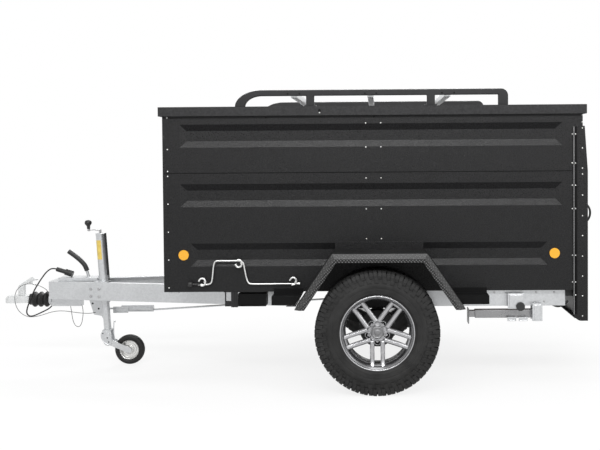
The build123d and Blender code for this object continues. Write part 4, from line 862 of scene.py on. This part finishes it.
rimLip = [
    (0.0965, 0.2132), (0.1004, 0.2136), (0.1014, 0.215), (0.1015, 0.2185), (0.1008, 0.2198), (0.096, 0.2202),
]
hubDisc = [
    (0.028, 0.0), (0.028, 0.058), (0.039, 0.0585), (0.044, 0.057), (0.0448, 0.0545), (0.045, 0.041),
    (0.054, 0.04), (0.0555, 0.0385), (0.0555, 0.0),
]
hubCap = [
    (0.05, 0.0), (0.05, 0.037), (0.061, 0.0365), (0.0655, 0.0345), (0.067, 0.0315), (0.0655, 0.0285),
    (0.064, 0.027), (0.064, 0.018), (0.066, 0.016), (0.0675, 0.0135), (0.068, 0.009), (0.0685, 0.0),
]


def makeSpoke():
    low = (rim["innerRadius"], -rim["width"] / 2, rim["back"])
    high = (rim["outerRadius"], rim["width"] / 2, rim["face"])
    spoke = startBox("spoke", low, high)
    openEdit(spoke)
    cutAcross(*rim["cuts"])
    # slimmer and set back towards the rim, where it curves down to the barrel
    pickSide(spoke, "+x")
    bpy.ops.transform.resize(value=(1, 0.8, 1))
    pickSide(spoke, "+z", 0.6)
    bpy.ops.mesh.inset(thickness=0.0072, depth=rim["ridge"])
    pickSide(spoke, "-z")
    bpy.ops.mesh.inset(thickness=0.004, depth=-0.006)
    closeEdit()
    for corner in spoke.data.vertices:
        # the outer end sweeps up to the lip and thins on its way
        way = max(0.0, (corner.co.x - rim["cuts"][0]) / rim["sweepRun"])
        below, lift = rim["thinning"]
        corner.co.z += rim["sweepRise"] * way * way + (lift * way if corner.co.z < below else 0.0)
    return rounded(spoke, 0.0012, 2)


def makeBridge():
    bridge = startBox("spokeBridge", *rim["bridge"])
    openEdit(bridge)
    pickSide(bridge, "+z")
    bpy.ops.mesh.inset(thickness=0.004, depth=-0.003)
    pickSide(bridge, "+x")
    bpy.ops.transform.translate(value=(0.002, 0, 0.01))
    closeEdit()
    return rounded(bridge, 0.0012, 2)


def makeBolt():
    size = rim["bolt"]
    bolt = startRound("wheelBolt", (0, 0, size["at"]), size["radius"], size["height"], "up", 6)
    pressed(bolt, "+z", (0.0016, 0.0012), (0.0022, -0.003))
    return rounded(bolt, 0.0005, 1)


pocketRing = [
    (0.033, 0.0), (0.033, 0.02), (0.0575, 0.0196), (0.06, 0.0189), (0.0606, 0.018), (0.06, 0.0171),
    (0.043, 0.0166), (0.042, 0.0),
]
# the floors of the bolt pockets are dark discs of painted shade
pocketShadeDisc = [
    (0.0425, 0.0), (0.0425, 0.0164), (0.0585, 0.017), (0.0585, 0.0162), (0.0436, 0.0156), (0.0436, 0.0),
]
pairTurns = [Matrix.Rotation(-pi / 2 + 2 * pi * number / rim["pairs"], 4, "Z")
             for number in range(rim["pairs"])]
spokePlaces = [turn @ Matrix.Translation((0, shift, 0)) for turn in pairTurns
               for shift in (-rim["halfGap"], rim["halfGap"])]
boltPlaces = [turn @ Matrix.Translation((rim["boltRadius"], 0, 0)) for turn in pairTurns]
alloy = joined("alloyWheelLeft", turned("hubDisc", hubDisc, 64), turned("rimLip", rimLip, 96),
               scattered(makeSpoke(), "spokes", spokePlaces), scattered(makeBridge(), "bridges", pairTurns),
               scattered(turned("pocketRing", pocketRing, 24), "pockets", boltPlaces))
for piece, finish in (
        (alloy, "alloySilver"), (turned("wheelBarrelLeft", barrel, 96), "wheelGrey"),
        (turned("wheelCapLeft", hubCap, 48), "capGrey"),
        (scattered(makeBolt(), "wheelBoltsLeft", boltPlaces), "alloySilver"),
        (scattered(turned("pocketShadeDisc", pocketShadeDisc, 24), "boltPocketsLeft", boltPlaces), "shadeBlack")):
    piece.data.transform(wheelPlace)
    pair(piece, finish, "wheel_left", ("rim_left",))
print("wheels built")

# rivets: stations and heights in metres
rivets = {
    "frontEdge": (0.03, (1.64, 1.448, 1.314, 1.284, 1.115, 0.945, 0.774, 0.604)),
    "middleOne": (1.237, (1.601, 1.455, 1.267, 1.079, 0.897)),
    "middleTwo": (1.328, (1.601, 1.455, 1.267, 1.079, 0.897)),
    "rearPost": (2.547, (1.64, 1.598, 1.561, 1.44, 1.318, 1.282, 1.155, 1.03, 0.909, 0.784, 0.663, 0.542,
                         0.42)),
    "postPairs": (2.487, (1.525, 1.349, 1.215, 1.073, 0.79, 0.627, 0.548)),
    "postPairsRear": (2.505, (1.525, 1.349, 1.215, 1.073, 0.79, 0.627, 0.548)),
}


def rivetHead():
    profile = [(-0.0004, 0.0), (-0.0004, 0.0042), (0.0004, 0.004), (0.0013, 0.0032), (0.0019, 0.002),
               (0.0022, 0.0)]
    return turned("rivetHead", profile, 14)


wallNames = [name for name in nodes if "wall" in name]
rivetPlaces = [(station(distance), height) for distance, heights in rivets.values() for height in heights]
for near, side in bothSides:
    seats = seated(rivetPlaces, wallNames + ["rear_posts"], near)
    dressed(scattered(rivetHead(), "wallRivets" + side, seats), "plated")
print("rivets set")


# fenders: a folded sheet with its outer edge bent down twice
fender = {
    "x": 0.634, "halfFoot": 0.499, "halfTop": 0.2775, "foot": 0.508, "top": 0.833, "thick": 0.0025,
    "section": ((-0.6757, 0.0), (-0.9345, 0.0), (-0.9622, 0.0272), (-0.9618, 0.049), (-0.954, 0.049)),
    "plate": ((0.364, -0.6775, 0.474), (0.9, -0.6752, 0.8795)),
}


def fenderRing(drop):
    slope = (fender["halfFoot"] - fender["halfTop"]) / (fender["top"] - fender["foot"])
    shift = drop * (1 + slope * slope) ** 0.5
    half = fender["halfFoot"] - shift
    corner = half - (fender["top"] - drop - fender["foot"]) * slope
    high = fender["top"] - drop
    return ((-half, fender["foot"]), (-corner, high), (corner, high), (half, fender["foot"]))


def makeFender():
    corners, faces = [], []
    section = fender["section"]
    for y, drop in section:
        corners += [(fender["x"] + x, y, z) for x, z in fenderRing(drop)]
    for row in range(len(section) - 1):
        for step in range(3):
            first = row * 4 + step
            faces.append((first, first + 4, first + 5, first + 1))
    mesh = bpy.data.meshes.new("fenderSheetLeft")
    mesh.from_pydata(corners, [], faces)
    sheet = placed("fenderSheetLeft", mesh)
    takeUp(sheet)
    wall = sheet.modifiers.new("sheetWall", "SOLIDIFY")
    wall.thickness = fender["thick"]
    wall.offset = -1.0
    wall.use_even_offset = True
    bpy.ops.object.modifier_apply(modifier=wall.name)
    openEdit(sheet)
    pickAll()
    bpy.ops.mesh.normals_make_consistent(inside=False)
    closeEdit()
    return rounded(sheet, 0.0009, 2, 24)


def makeArchPlate():
    plate = startBox("archPlateLeft", *fender["plate"])
    pressed(plate, "-y", (0.01, 0.0), (0.0012, -0.0006))
    return rounded(plate, 0.0006, 2)


pair(makeFender(), "checkerBlack", "chassis", ("fender_left",))
pair(makeArchPlate(), "texturedBlack", "chassis", ("fender_left",))
print("fenders folded")

# jockey wheel: tube with a dark strip down its rear side, sticker and crank, and the wheel's pressed disc
jockey = {
    "side": -0.062, "foot": (-1.213, 0.238), "top": (-1.255, 0.889), "radius": 0.03,
    "crankReach": 0.076, "armBend": (-0.022, -0.034), "wheel": (-1.063, -0.062, 0.1),
    "rack": ((0.0255, -0.0105, -0.462), (0.0385, 0.0105, 0.0)), "label": (-0.175, -0.045, 0.0301, 0.0304),
}
tubeLean = Vector((jockey["top"][0] - jockey["foot"][0], 0, jockey["top"][1] - jockey["foot"][1]))
# Z runs up the tube from its top, X to the rear, Y to the far side
tubeTop = (Matrix.Translation((jockey["top"][0], jockey["side"], jockey["top"][1]))
           @ tubeLean.to_track_quat("Z", "Y").to_matrix().to_4x4())


def squared(matrix):
    # keeps Z and turns X to the trailer's rear
    up = (matrix.to_3x3() @ Vector((0, 0, 1))).normalized()
    across = Vector((0, 1, 0))
    rear = across.cross(up).normalized()
    turn = Matrix((rear, across, up)).transposed().to_4x4()
    return Matrix.Translation(matrix.to_translation()) @ turn


tubeTop = squared(tubeTop)
knobShape = [
    (0.035, 0.0), (0.035, 0.0098), (0.039, 0.0105), (0.053, 0.0112), (0.06, 0.0145), (0.065, 0.0195),
    (0.072, 0.0232), (0.079, 0.0236), (0.086, 0.0215), (0.0915, 0.017), (0.0945, 0.0105), (0.0955, 0.0),
]


def makeCrankArm():
    shape = [(0.0, 0.0), (0.0, 0.0085), (0.024, 0.0085), (0.0265, 0.007), (0.0265, 0.0)]
    post = turned("crankPost", shape, 24)
    low, high = (-jockey["crankReach"] - 0.009, -0.009, 0.0185), (0.0095, 0.009, 0.024)
    arm = startBox("crankArm", low, high)
    openEdit(arm)
    cutAcross(*jockey["armBend"])
    pickFaces(arm, lambda middle, normal: middle.x < -0.0335)
    bpy.ops.transform.translate(value=(0, 0, 0.005))
    closeEdit()
    rounded(arm, 0.0016, 2)
    pin = turned("crankPin", [(0.02, 0.0), (0.02, 0.0075), (0.038, 0.0075), (0.038, 0.0)], 24,
                 Matrix.Translation((-jockey["crankReach"], 0, 0)))
    piece = joined("jockeyCrankArm", arm, post, pin)
    piece.data.transform(tubeTop)
    return piece


def makeSticker():
    # a blank label on the tube's near side
    low, high, inner, outer = jockey["label"]
    sticker = turned("jockeySticker", [(low, inner), (low, outer), (high, outer), (high, inner)], 48)
    openEdit(sticker)
    pickFaces(sticker, lambda middle, normal: not (middle.y < -0.006 and middle.x < 0.008))
    bpy.ops.mesh.delete(type="FACE")
    closeEdit()
    sticker.data.transform(tubeTop)
    return sticker


def makeDarkStrip():
    # a satin black strip with a pressed channel, down the tube's rear side
    rack = startBox("jockeyRack", *jockey["rack"])
    pressed(rack, "+x", (0.0045, -0.006))
    rounded(rack, 0.001, 2)
    rack.data.transform(tubeTop)
    return rack


tubeCapShape = [(-0.012, 0.025), (-0.012, 0.0312), (-0.001, 0.0312), (0.0018, 0.029), (0.0018, 0.0)]
jockeyKnob = turned("jockeyCrankKnob", knobShape, 40,
                    tubeTop @ Matrix.Translation((-jockey["crankReach"], 0, 0)))
dressed(jockeyKnob, "blackPlastic", "chassis", ("jockey_crank",))
dressed(makeCrankArm(), "wornSteelAndHighlight", "chassis", ("jockey_crank",))
dressed(makeSticker(), "yellowSticker")
dressed(makeDarkStrip(), "satinBlack")
dressed(turned("jockeyTubeCap", tubeCapShape, 40, tubeTop), "galvanised")

jockeyPlace = Matrix.Translation(jockey["wheel"]) @ facings["near"]
jockeyDisc = [
    (-0.0215, 0.064), (-0.0215, 0.059), (-0.015, 0.056), (-0.005, 0.0535), (-0.003, 0.042), (0.0035, 0.04),
    (0.005, 0.033), (0.0015, 0.029), (0.0015, 0.017), (0.0235, 0.016), (0.0235, 0.0105), (0.0248, 0.01),
    (0.0248, 0.021), (0.005, 0.023), (0.0055, 0.027), (0.009, 0.033), (0.0075, 0.043), (0.0005, 0.045),
    (-0.001, 0.055), (0.013, 0.057), (0.019, 0.06), (0.0215, 0.064),
]
jockeyTread = mirrored([
    (-0.0175, 0.065), (-0.0195, 0.07), (-0.0235, 0.078), (-0.0245, 0.085), (-0.0225, 0.0925),
    (-0.018, 0.0968), (-0.0125, 0.0988), (-0.011, 0.097), (-0.0095, 0.0992), (-0.0045, 0.0998),
    (-0.003, 0.0978), (0.0, 0.0975),
])
jockeyTyre = turned("jockeyTyre", jockeyTread, 72, jockeyPlace)
dressed(jockeyTyre, "rubber", "jockey_wheel", ("jockey_tyre",))
jockeyRim = turned("jockeyRim", jockeyDisc, 64, jockeyPlace)
dressed(jockeyRim, "plated", "jockey_wheel", ("jockey_wheel",))
axleEnd = turned("jockeyAxleNut", [(0.027, 0.0), (0.027, 0.01), (0.0345, 0.01), (0.0345, 0.0)], 6,
                 jockeyPlace)
dressed(rounded(axleEnd, 0.0008, 2), "satinBlack", "jockey_fork")
print("jockey wheel dressed")

# handbrake lever: flat shaft and a curved moulded grip
handbrake = {
    "side": 0.02, "shaft": ((-1.356, 0.55), (-1.366, 0.595), (-1.38, 0.64), (-1.396, 0.664)),
    "grip": ((-1.374, 0.626), (-1.382, 0.65), (-1.398, 0.676), (-1.426, 0.704), (-1.458, 0.73),
             (-1.486, 0.75), (-1.5, 0.76)),
    "gripRadius": 0.0158, "pivot": (-1.356, 0.556), "pivotRadius": 0.02, "pivotWidth": 0.014,
}


def makeGrip():
    route = [(x, handbrake["side"], z) for x, z in handbrake["grip"]]
    grip = tube("handbrakeGrip", route, handbrake["gripRadius"], 5)
    openEdit(grip)
    for end in (route[0], route[-1]):
        pickFaces(grip, lambda middle, normal: (middle - Vector(end)).length < 0.003)
        bpy.ops.mesh.inset(thickness=0.003, depth=0.0025)
    closeEdit()
    return grip


def makeShaft():
    shaft = tube("handbrakeShaft", [(x, handbrake["side"], z) for x, z in handbrake["shaft"]], 0.0095)
    x, z = handbrake["pivot"]
    foot = startRound("handbrakePivot", (x, handbrake["side"], z), handbrake["pivotRadius"],
                      handbrake["pivotWidth"], "near")
    pressed(foot, "-y", (0.007, 0.0), (0.0008, 0.005))
    return joined("handbrakeShaft", shaft, rounded(foot, 0.001, 2))


dressed(makeGrip(), "blackPlastic", "chassis", ("handbrake_lever",))
dressed(makeShaft(), "galvanised", "chassis", ("handbrake_lever",))

# small round and hexagonal fasteners, each on the face that carries it
fasteners = {
    "beamBolts": ((-1.301, 0.522), (-1.243, 0.522), (-1.301, 0.472), (-1.243, 0.472)),
    "memberBolts": ((1.335, 0.56), (1.405, 0.56), (1.455, 0.5), (1.59, 0.56), (1.64, 0.505), (1.7, 0.56)),
}


def boltHead(name, radius, height):
    shape = [(-0.001, 0.0), (-0.001, radius * 1.25), (0.0008, radius * 1.25), (0.0012, radius * 1.2)]
    washer = turned("washer", shape + [(0.0012, 0.0)], 20)
    head = startRound("head", (0, 0, height / 2), radius, height, "up", 6)
    pressed(head, "+z", (radius * 0.12, 0.0))
    return joined(name, rounded(head, radius * 0.1, 2), washer)


for name, radius, height, carrier in (("beamBolts", 0.0085, 0.007, "drawbar_beams"),
                                      ("memberBolts", 0.0055, 0.005, "side_members")):
    seats = seated(fasteners[name], (carrier,))
    pair(scattered(boltHead(name, radius, height), name + "Left", seats), "wornSteelAndHighlight")
print("bolts seated")

# wheel chock in its holder, the stored crank's grip and its clips
chock = {
    "block": ((-0.232, -0.669, 0.486), (-0.062, -0.556, 0.564)),
    "strap": ((-0.275, -0.669, 0.482), (-0.233, -0.66, 0.577)),
    "ribs": (-0.262, -0.254, -0.246, -0.24), "ribHeight": 0.0035,
}


def makeChock():
    block = startBox("wheelChockLeft", *chock["block"])
    pressed(block, "-y", (0.012, -0.004))
    pressed(block, "-z", (0.01, -0.03))
    return rounded(block, 0.0022, 2)


def makeChockStrap():
    strap = startBox("chockStrapLeft", *chock["strap"])
    openEdit(strap)
    cutAcross(*chock["ribs"])
    a, b, c, d = chock["ribs"]
    pickFaces(strap, lambda middle, normal: normal.y < -0.9 and (a < middle.x < b or c < middle.x < d))
    bpy.ops.mesh.extrude_region_move(TRANSFORM_OT_translate={"value": (0, -chock["ribHeight"], 0)})
    closeEdit()
    return rounded(strap, 0.0012, 2)


# the black plastic chock takes shadeBlack, darker still, as painted shade
pair(makeChock(), "shadeBlack", "chassis", ("wheel_chocks",))
pair(makeChockStrap(), "satinBlack")

crankGripShape = [
    (-0.048, 0.0), (-0.048, 0.0052), (0.002, 0.0055), (0.003, 0.012), (0.0055, 0.0148), (0.012, 0.0158),
    (0.021, 0.0156), (0.027, 0.0138), (0.0295, 0.0105), (0.03, 0.0),
]
crankRoute = [
    (-0.47, 0.6262), (-0.44, 0.6262), (-0.406, 0.6262), (-0.387, 0.638), (-0.381, 0.68), (-0.375, 0.745),
    (-0.364, 0.7705), (-0.34, 0.7705), (-0.275, 0.7705), (-0.208, 0.7705), (-0.193, 0.756), (-0.184, 0.708),
    (-0.175, 0.66), (-0.162, 0.63), (-0.138, 0.628), (-0.04, 0.628), (0.08, 0.628), (0.122, 0.628),
]
hooks = {
    "places": ((-0.446, 0.6262, 1), (-0.2226, 0.7705, -1), (0.1077, 0.628, 1)),
    "route": ((-0.019, 0.02), (-0.013, 0.034), (0.002, 0.04), (0.017, 0.033), (0.0225, 0.015),
              (0.016, 0.0), (0.004, -0.007), (-0.006, -0.005)),
    "plane": -0.701, "wall": -0.674, "rod": -0.694, "rodRadius": 0.0047, "radius": 0.0058,
    "grip": (-0.502, -0.694, 0.628), "rodEnd": (0.131, -0.694, 0.628),
}
crankGrip = turned("storedCrankGrip", crankGripShape, 32, spot(*hooks["grip"], "front"))
dressed(crankGrip, "blackPlastic")


def makeCrankRod():
    rod = tube("storedCrankRod", [(x, hooks["rod"], z) for x, z in crankRoute], hooks["rodRadius"])
    shape = [(-0.019, 0.0), (-0.019, 0.007), (-0.017, 0.0085), (0.014, 0.0085), (0.019, 0.0072), (0.019, 0.0)]
    end = turned("crankEnd", shape, 28, spot(*hooks["rodEnd"], "rear"))
    return joined("storedCrankRod", rod, end)


def makeHooks():
    pieces = []
    for x, z, way in hooks["places"]:
        route = [(x + side, hooks["plane"], z + way * up) for side, up in hooks["route"]]
        ring = tube("hookRing", route, hooks["radius"])
        middle = (x + 0.018, (hooks["plane"] + hooks["wall"]) / 2, z + way * 0.014)
        stem = startRound("hookStem", middle, 0.007, hooks["wall"] - hooks["plane"], "near", 20)
        pressed(stem, "-y", (0.0018, 0.0014))
        pieces += [ring, stem]
    return joined("crankHookRings", *pieces)


dressed(makeCrankRod(), "plated", "chassis", ("stored_crank",))
dressed(makeHooks(), "plated", "chassis", ("crank_hooks",))
print("chocks and crank grip set")

# steadies: clamp knob, slide tabs and the pivot plate, on both sides
steady = {
    "knob": (1.488, -0.679, 0.48), "tabs": (1.412, 1.482), "tabWidth": 0.054,
    "guide": ((1.412, -0.6765, 0.465), (1.512, -0.6732, 0.56)),
    "pivot": ((1.562, -0.6765, 0.389), (1.6225, -0.6732, 0.498)),
}


def makeSteadyKnob():
    shape = [(-0.03, 0.0), (-0.03, 0.0075), (-0.004, 0.0075), (-0.002, 0.022), (0.001, 0.0265),
             (0.012, 0.0265), (0.015, 0.024), (0.016, 0.014), (0.015, 0.0)]
    return turned("steadyKnobLeft", shape, 36, spot(*steady["knob"], "near"))


def makeGuide(name, low, high):
    plate = startBox(name, low, high)
    pressed(plate, "-y", (0.009, 0.0), (0.002, 0.0022))
    return rounded(plate, 0.001, 2)


def makeTabs():
    low = (0, -0.656, 0.386)
    tab = startBox("steadyTab", low, (steady["tabWidth"], -0.6476, 0.411))
    pressed(tab, "-y", (0.005, 0.0), (0.001, -0.0012))
    return scattered(rounded(tab, 0.0012, 2), "steadyTabsLeft",
                     [Matrix.Translation((x, 0, 0)) for x in steady["tabs"]])


pair(makeTabs(), "galvanised", "steady_left")
pair(makeSteadyKnob(), "blackPlastic")
for name in ("guide", "pivot"):
    pair(makeGuide("steady" + name.title() + "Left", *steady[name]), "galvanised")
print("steadies dressed")


# jockey fork: rounded side plate with its holes, the lock pin, and holes in the gusset, all as dark discs of
# painted shade
forkPlate = {
    "middle": (-1.213, -0.0992, 0.182), "long": 0.052, "short": 0.031, "turn": 32, "thick": 0.003,
    "holes": ((-1.236, 0.214), (-1.206, 0.184), (-1.197, 0.156)), "holeRadius": 0.0042,
    "gussetHoles": ((-1.341, 0.398), (-1.3, 0.362), (-1.33, 0.425)), "pinRadius": 0.0034,
    "lockPin": ((-1.166, -0.086, 0.208), (-1.166, -0.086, 0.25), (-1.164, -0.086, 0.292),
                (-1.158, -0.086, 0.3), (-1.154, -0.086, 0.288)),
}


def makeForkPlate():
    plate = startRound("forkPlate", (0, 0, 0), 1.0, forkPlate["thick"], "up", 48)
    openEdit(plate)
    pickAll()
    bpy.ops.transform.resize(value=(forkPlate["short"], forkPlate["long"], 1))
    pickSide(plate, "+z")
    bpy.ops.mesh.inset(thickness=0.003, depth=0.0)
    bpy.ops.mesh.inset(thickness=0.001, depth=-0.0008)
    closeEdit()
    rounded(plate, 0.0006, 2)
    plate.data.transform(spot(*forkPlate["middle"], "near", radians(forkPlate["turn"])))
    return plate


def holeDiscs(name, places, radius):
    ring = [(-0.0002, 0.0), (-0.0002, radius), (0.0004, radius), (0.0004, radius * 0.8),
            (0.0001, radius * 0.7), (0.0001, 0.0)]
    return scattered(turned("hole", ring, 20), name, places)


dressed(makeForkPlate(), "galvanised", "jockey_fork")
outer = forkPlate["middle"][1] - forkPlate["thick"] / 2
dressed(holeDiscs("forkHoles", [spot(x, outer, z, "near") for x, z in forkPlate["holes"]],
                  forkPlate["holeRadius"]), "satinBlack", "jockey_fork")
dressed(tube("forkLockPin", forkPlate["lockPin"], forkPlate["pinRadius"]), "galvanised", "jockey_fork")
gussetCarriers = ("overrun_housing", "jockey_clamp", "drawbar_beams", "brake_linkage")
dressed(holeDiscs("gussetHoles", seated(forkPlate["gussetHoles"], gussetCarriers), 0.0065), "shadeBlack")
print("fork and gusset dressed")

# small things on the drawbar: front bracket, brake yoke and the black cable hook at the rear
smallThings = {
    "bracket": ((-0.748, 0.5655, 0.636), 0.05), "beamHeight": 0.51, "halfFlange": 0.02,
    "yoke": ((-1.193, 0.001, 0.336), (-1.09, 0.0062, 0.379)),
    "hook": ((1.69, -0.61, 0.482), (1.715, -0.612, 0.468), (1.745, -0.614, 0.47), (1.775, -0.616, 0.488),
             (1.79, -0.616, 0.505)),
}


def makeFrontBracket():
    (x, low, high), width = smallThings["bracket"]
    y = touch(x, smallThings["beamHeight"], ("drawbar_beams",)) + smallThings["halfFlange"]
    plate = startBox("frontBracketLeft", (x, y - width / 2, low), (x + 0.004, y + width / 2, high))
    foot = startBox("bracketFoot", (x, y - width / 2, low), (x + 0.06, y + width / 2, low + 0.004))
    for part, way in ((plate, "-x"), (foot, "+z")):
        pressed(part, way, (0.006, 0.0), (0.0008, -0.0006))
    return joined("frontBracketLeft", rounded(plate, 0.001, 2), rounded(foot, 0.001, 2))


def makeYoke():
    yoke = startBox("brakeYoke", *smallThings["yoke"])
    pressed(yoke, "-y", (0.01, 0.0), (0.001, -0.003))
    return rounded(yoke, 0.0012, 2)


pair(makeFrontBracket(), "plated")
dressed(makeYoke(), "galvanised")
pair(tube("cableHookLeft", smallThings["hook"], 0.0068), "blackPlastic")
print("small things placed")

# dark screws: in the rails where the bars meet them, in the lid's edge and under it in the walls
marks = {
    "rail": ((0.0812, 1.781), (0.1533, 1.781), (0.5515, 1.781), (0.6205, 1.781),
             (1.019, 1.781), (1.093, 1.781)),
    "wall": ((-0.0506, 1.638), (0.605, 1.638)), "lid": (0.2769, 1.677), "radius": 0.0052,
    "lidRing": 0.0085, "lidDrop": 0.013,
}


for near, side in bothSides:
    for row, names, body in (("rail", ("roof_rails",), "lid"), ("wall", wallNames, "chassis")):
        seats = seated(marks[row], names, near)
        dressed(holeDiscs(row + "Screws" + side, seats, marks["radius"]), "shadeBlack", body)
lidX, lidZ = marks["lid"]
lidFront = touch(lidX, lidZ, ("lid_panel",))
dressed(holeDiscs("lidScrewRing", [spot(lidX, lidFront, lidZ, "near")], marks["lidRing"]),
        "shadeBlack", "lid")
lidScrewPlace = spot(lidX, lidFront, lidZ - marks["lidDrop"], "near")
dressed(scattered(rivetHead(), "lidScrew", [lidScrewPlace]), "plated", "lid")
print("screws marked")

# painted shadow in the seam between the walls' two tiers, and in the folded channel along each rear post a
# dark strip of painted shade with a light strip of painted highlight down its middle
strips = {
    "seal": ((-0.664, -0.6758, 1.3008), (1.804, -0.6744, 1.3052)),
    "channelShade": ((1.8085, -0.68, 0.43), (1.833, -0.6788, 1.57)),
    "bead": ((1.8118, -0.6812, 0.43), (1.8146, -0.6798, 1.57)), "edge": 0.0006,
}


def makeStrip(name, size, finish):
    strip = startBox(name, *strips[size])
    openEdit(strip)
    pickSide(strip, "-y")
    bpy.ops.mesh.inset(thickness=strips["edge"], depth=0.0)
    bpy.ops.transform.translate(value=(0, -0.0002, 0))
    closeEdit()
    pair(strip, finish)


for name, size, finish in (("seamSealLeft", "seal", "shadeBlack"),
                           # a dark strip of painted shade in each post's channel, and a light metal strip of
                           # painted highlight down its middle
                           ("postChannelLeft", "channelShade", "shadeBlack"),
                           ("postBeadLeft", "bead", "wornSteelAndHighlight")):
    makeStrip(name, size, finish)
print("seams and channels laid")


# pale floor, world and lamps
studio = {
    "floorSize": 40.0, "floorColour": (0.82, 0.82, 0.82), "nearGlow": 0.84, "glowReach": (2.3, 3.6),
    "worldFill": 0.34, "worldColour": (1.0, 1.0, 1.0),
}
lamps = [
    {"name": "keyLamp", "place": (0.2, -5.8, 4.7), "aim": (0.4, -0.7, 1.0), "size": (6.0, 0.8), "power": 370},
    {"name": "topLamp", "place": (0.8, 0.0, 5.2), "aim": (0.5, 0.0, 0.9), "size": (5.0, 2.2), "power": 170},
    {"name": "rearLamp", "place": (4.6, -3.2, 2.8), "aim": (0.8, 0.0, 0.8), "size": (2.2, 2.2), "power": 60},
    {"name": "farLamp", "place": (0.4, 5.8, 4.7), "aim": (0.4, 0.7, 1.0), "size": (6.0, 0.8), "power": 300},
]


def seenDirectly(tree):
    # one for rays from the camera, from gloss and through glass
    path = tree.nodes.new("ShaderNodeLightPath")
    seen = calc(tree, "MAXIMUM", path.outputs["Is Camera Ray"], path.outputs["Is Glossy Ray"])
    return calc(tree, "MAXIMUM", seen, path.outputs["Is Transmission Ray"])


def addFloor():
    bpy.ops.mesh.primitive_plane_add(size=studio["floorSize"], location=(0, 0, 0))
    floor = bpy.context.object
    floor.name = "studioFloor"
    material, tree, shader = newMaterial("studioFloor", studio["floorColour"], 0.9, 0.0, 0.1)
    place = objectPlace(tree)
    far = tree.nodes.new("ShaderNodeVectorMath")
    far.operation = "LENGTH"
    tree.links.new(place, far.inputs[0])
    share = spread(tree, far.outputs["Value"], *studio["glowReach"], studio["nearGlow"], 1.0)
    glow = tree.nodes.new("ShaderNodeEmission")
    mix = tree.nodes.new("ShaderNodeMixShader")
    tree.links.new(times(tree, share, seenDirectly(tree)), mix.inputs[0])
    tree.links.new(shader.outputs[0], mix.inputs[1])
    tree.links.new(glow.outputs[0], mix.inputs[2])
    tree.links.new(mix.outputs[0], tree.nodes["Material Output"].inputs["Surface"])
    floor.data.materials.append(material)


def addWorld():
    world = bpy.data.worlds.new("studio")
    bpy.context.scene.world = world
    world.use_nodes = True
    tree = world.node_tree
    fill = tree.nodes["Background"]
    fill.inputs["Color"].default_value = (*studio["worldColour"], 1)
    fill.inputs["Strength"].default_value = studio["worldFill"]
    shown = tree.nodes.new("ShaderNodeBackground")
    shown.inputs["Color"].default_value = (*studio["worldColour"], 1)
    mix = tree.nodes.new("ShaderNodeMixShader")
    tree.links.new(seenDirectly(tree), mix.inputs[0])
    tree.links.new(fill.outputs[0], mix.inputs[1])
    tree.links.new(shown.outputs[0], mix.inputs[2])
    tree.links.new(mix.outputs[0], tree.nodes["World Output"].inputs["Surface"])


def addLamps():
    for lamp in lamps:
        data = bpy.data.lights.new(lamp["name"], "AREA")
        data.shape = "RECTANGLE"
        data.size, data.size_y = lamp["size"]
        data.energy = lamp["power"]
        light = placed(lamp["name"], data)
        light.location = lamp["place"]
        toward = Vector(lamp["aim"]) - Vector(lamp["place"])
        light.rotation_euler = toward.to_track_quat("-Z", "Y").to_euler()


addFloor()
addWorld()
addLamps()
bpy.context.scene.view_settings.view_transform = "Standard"
print("studio set")
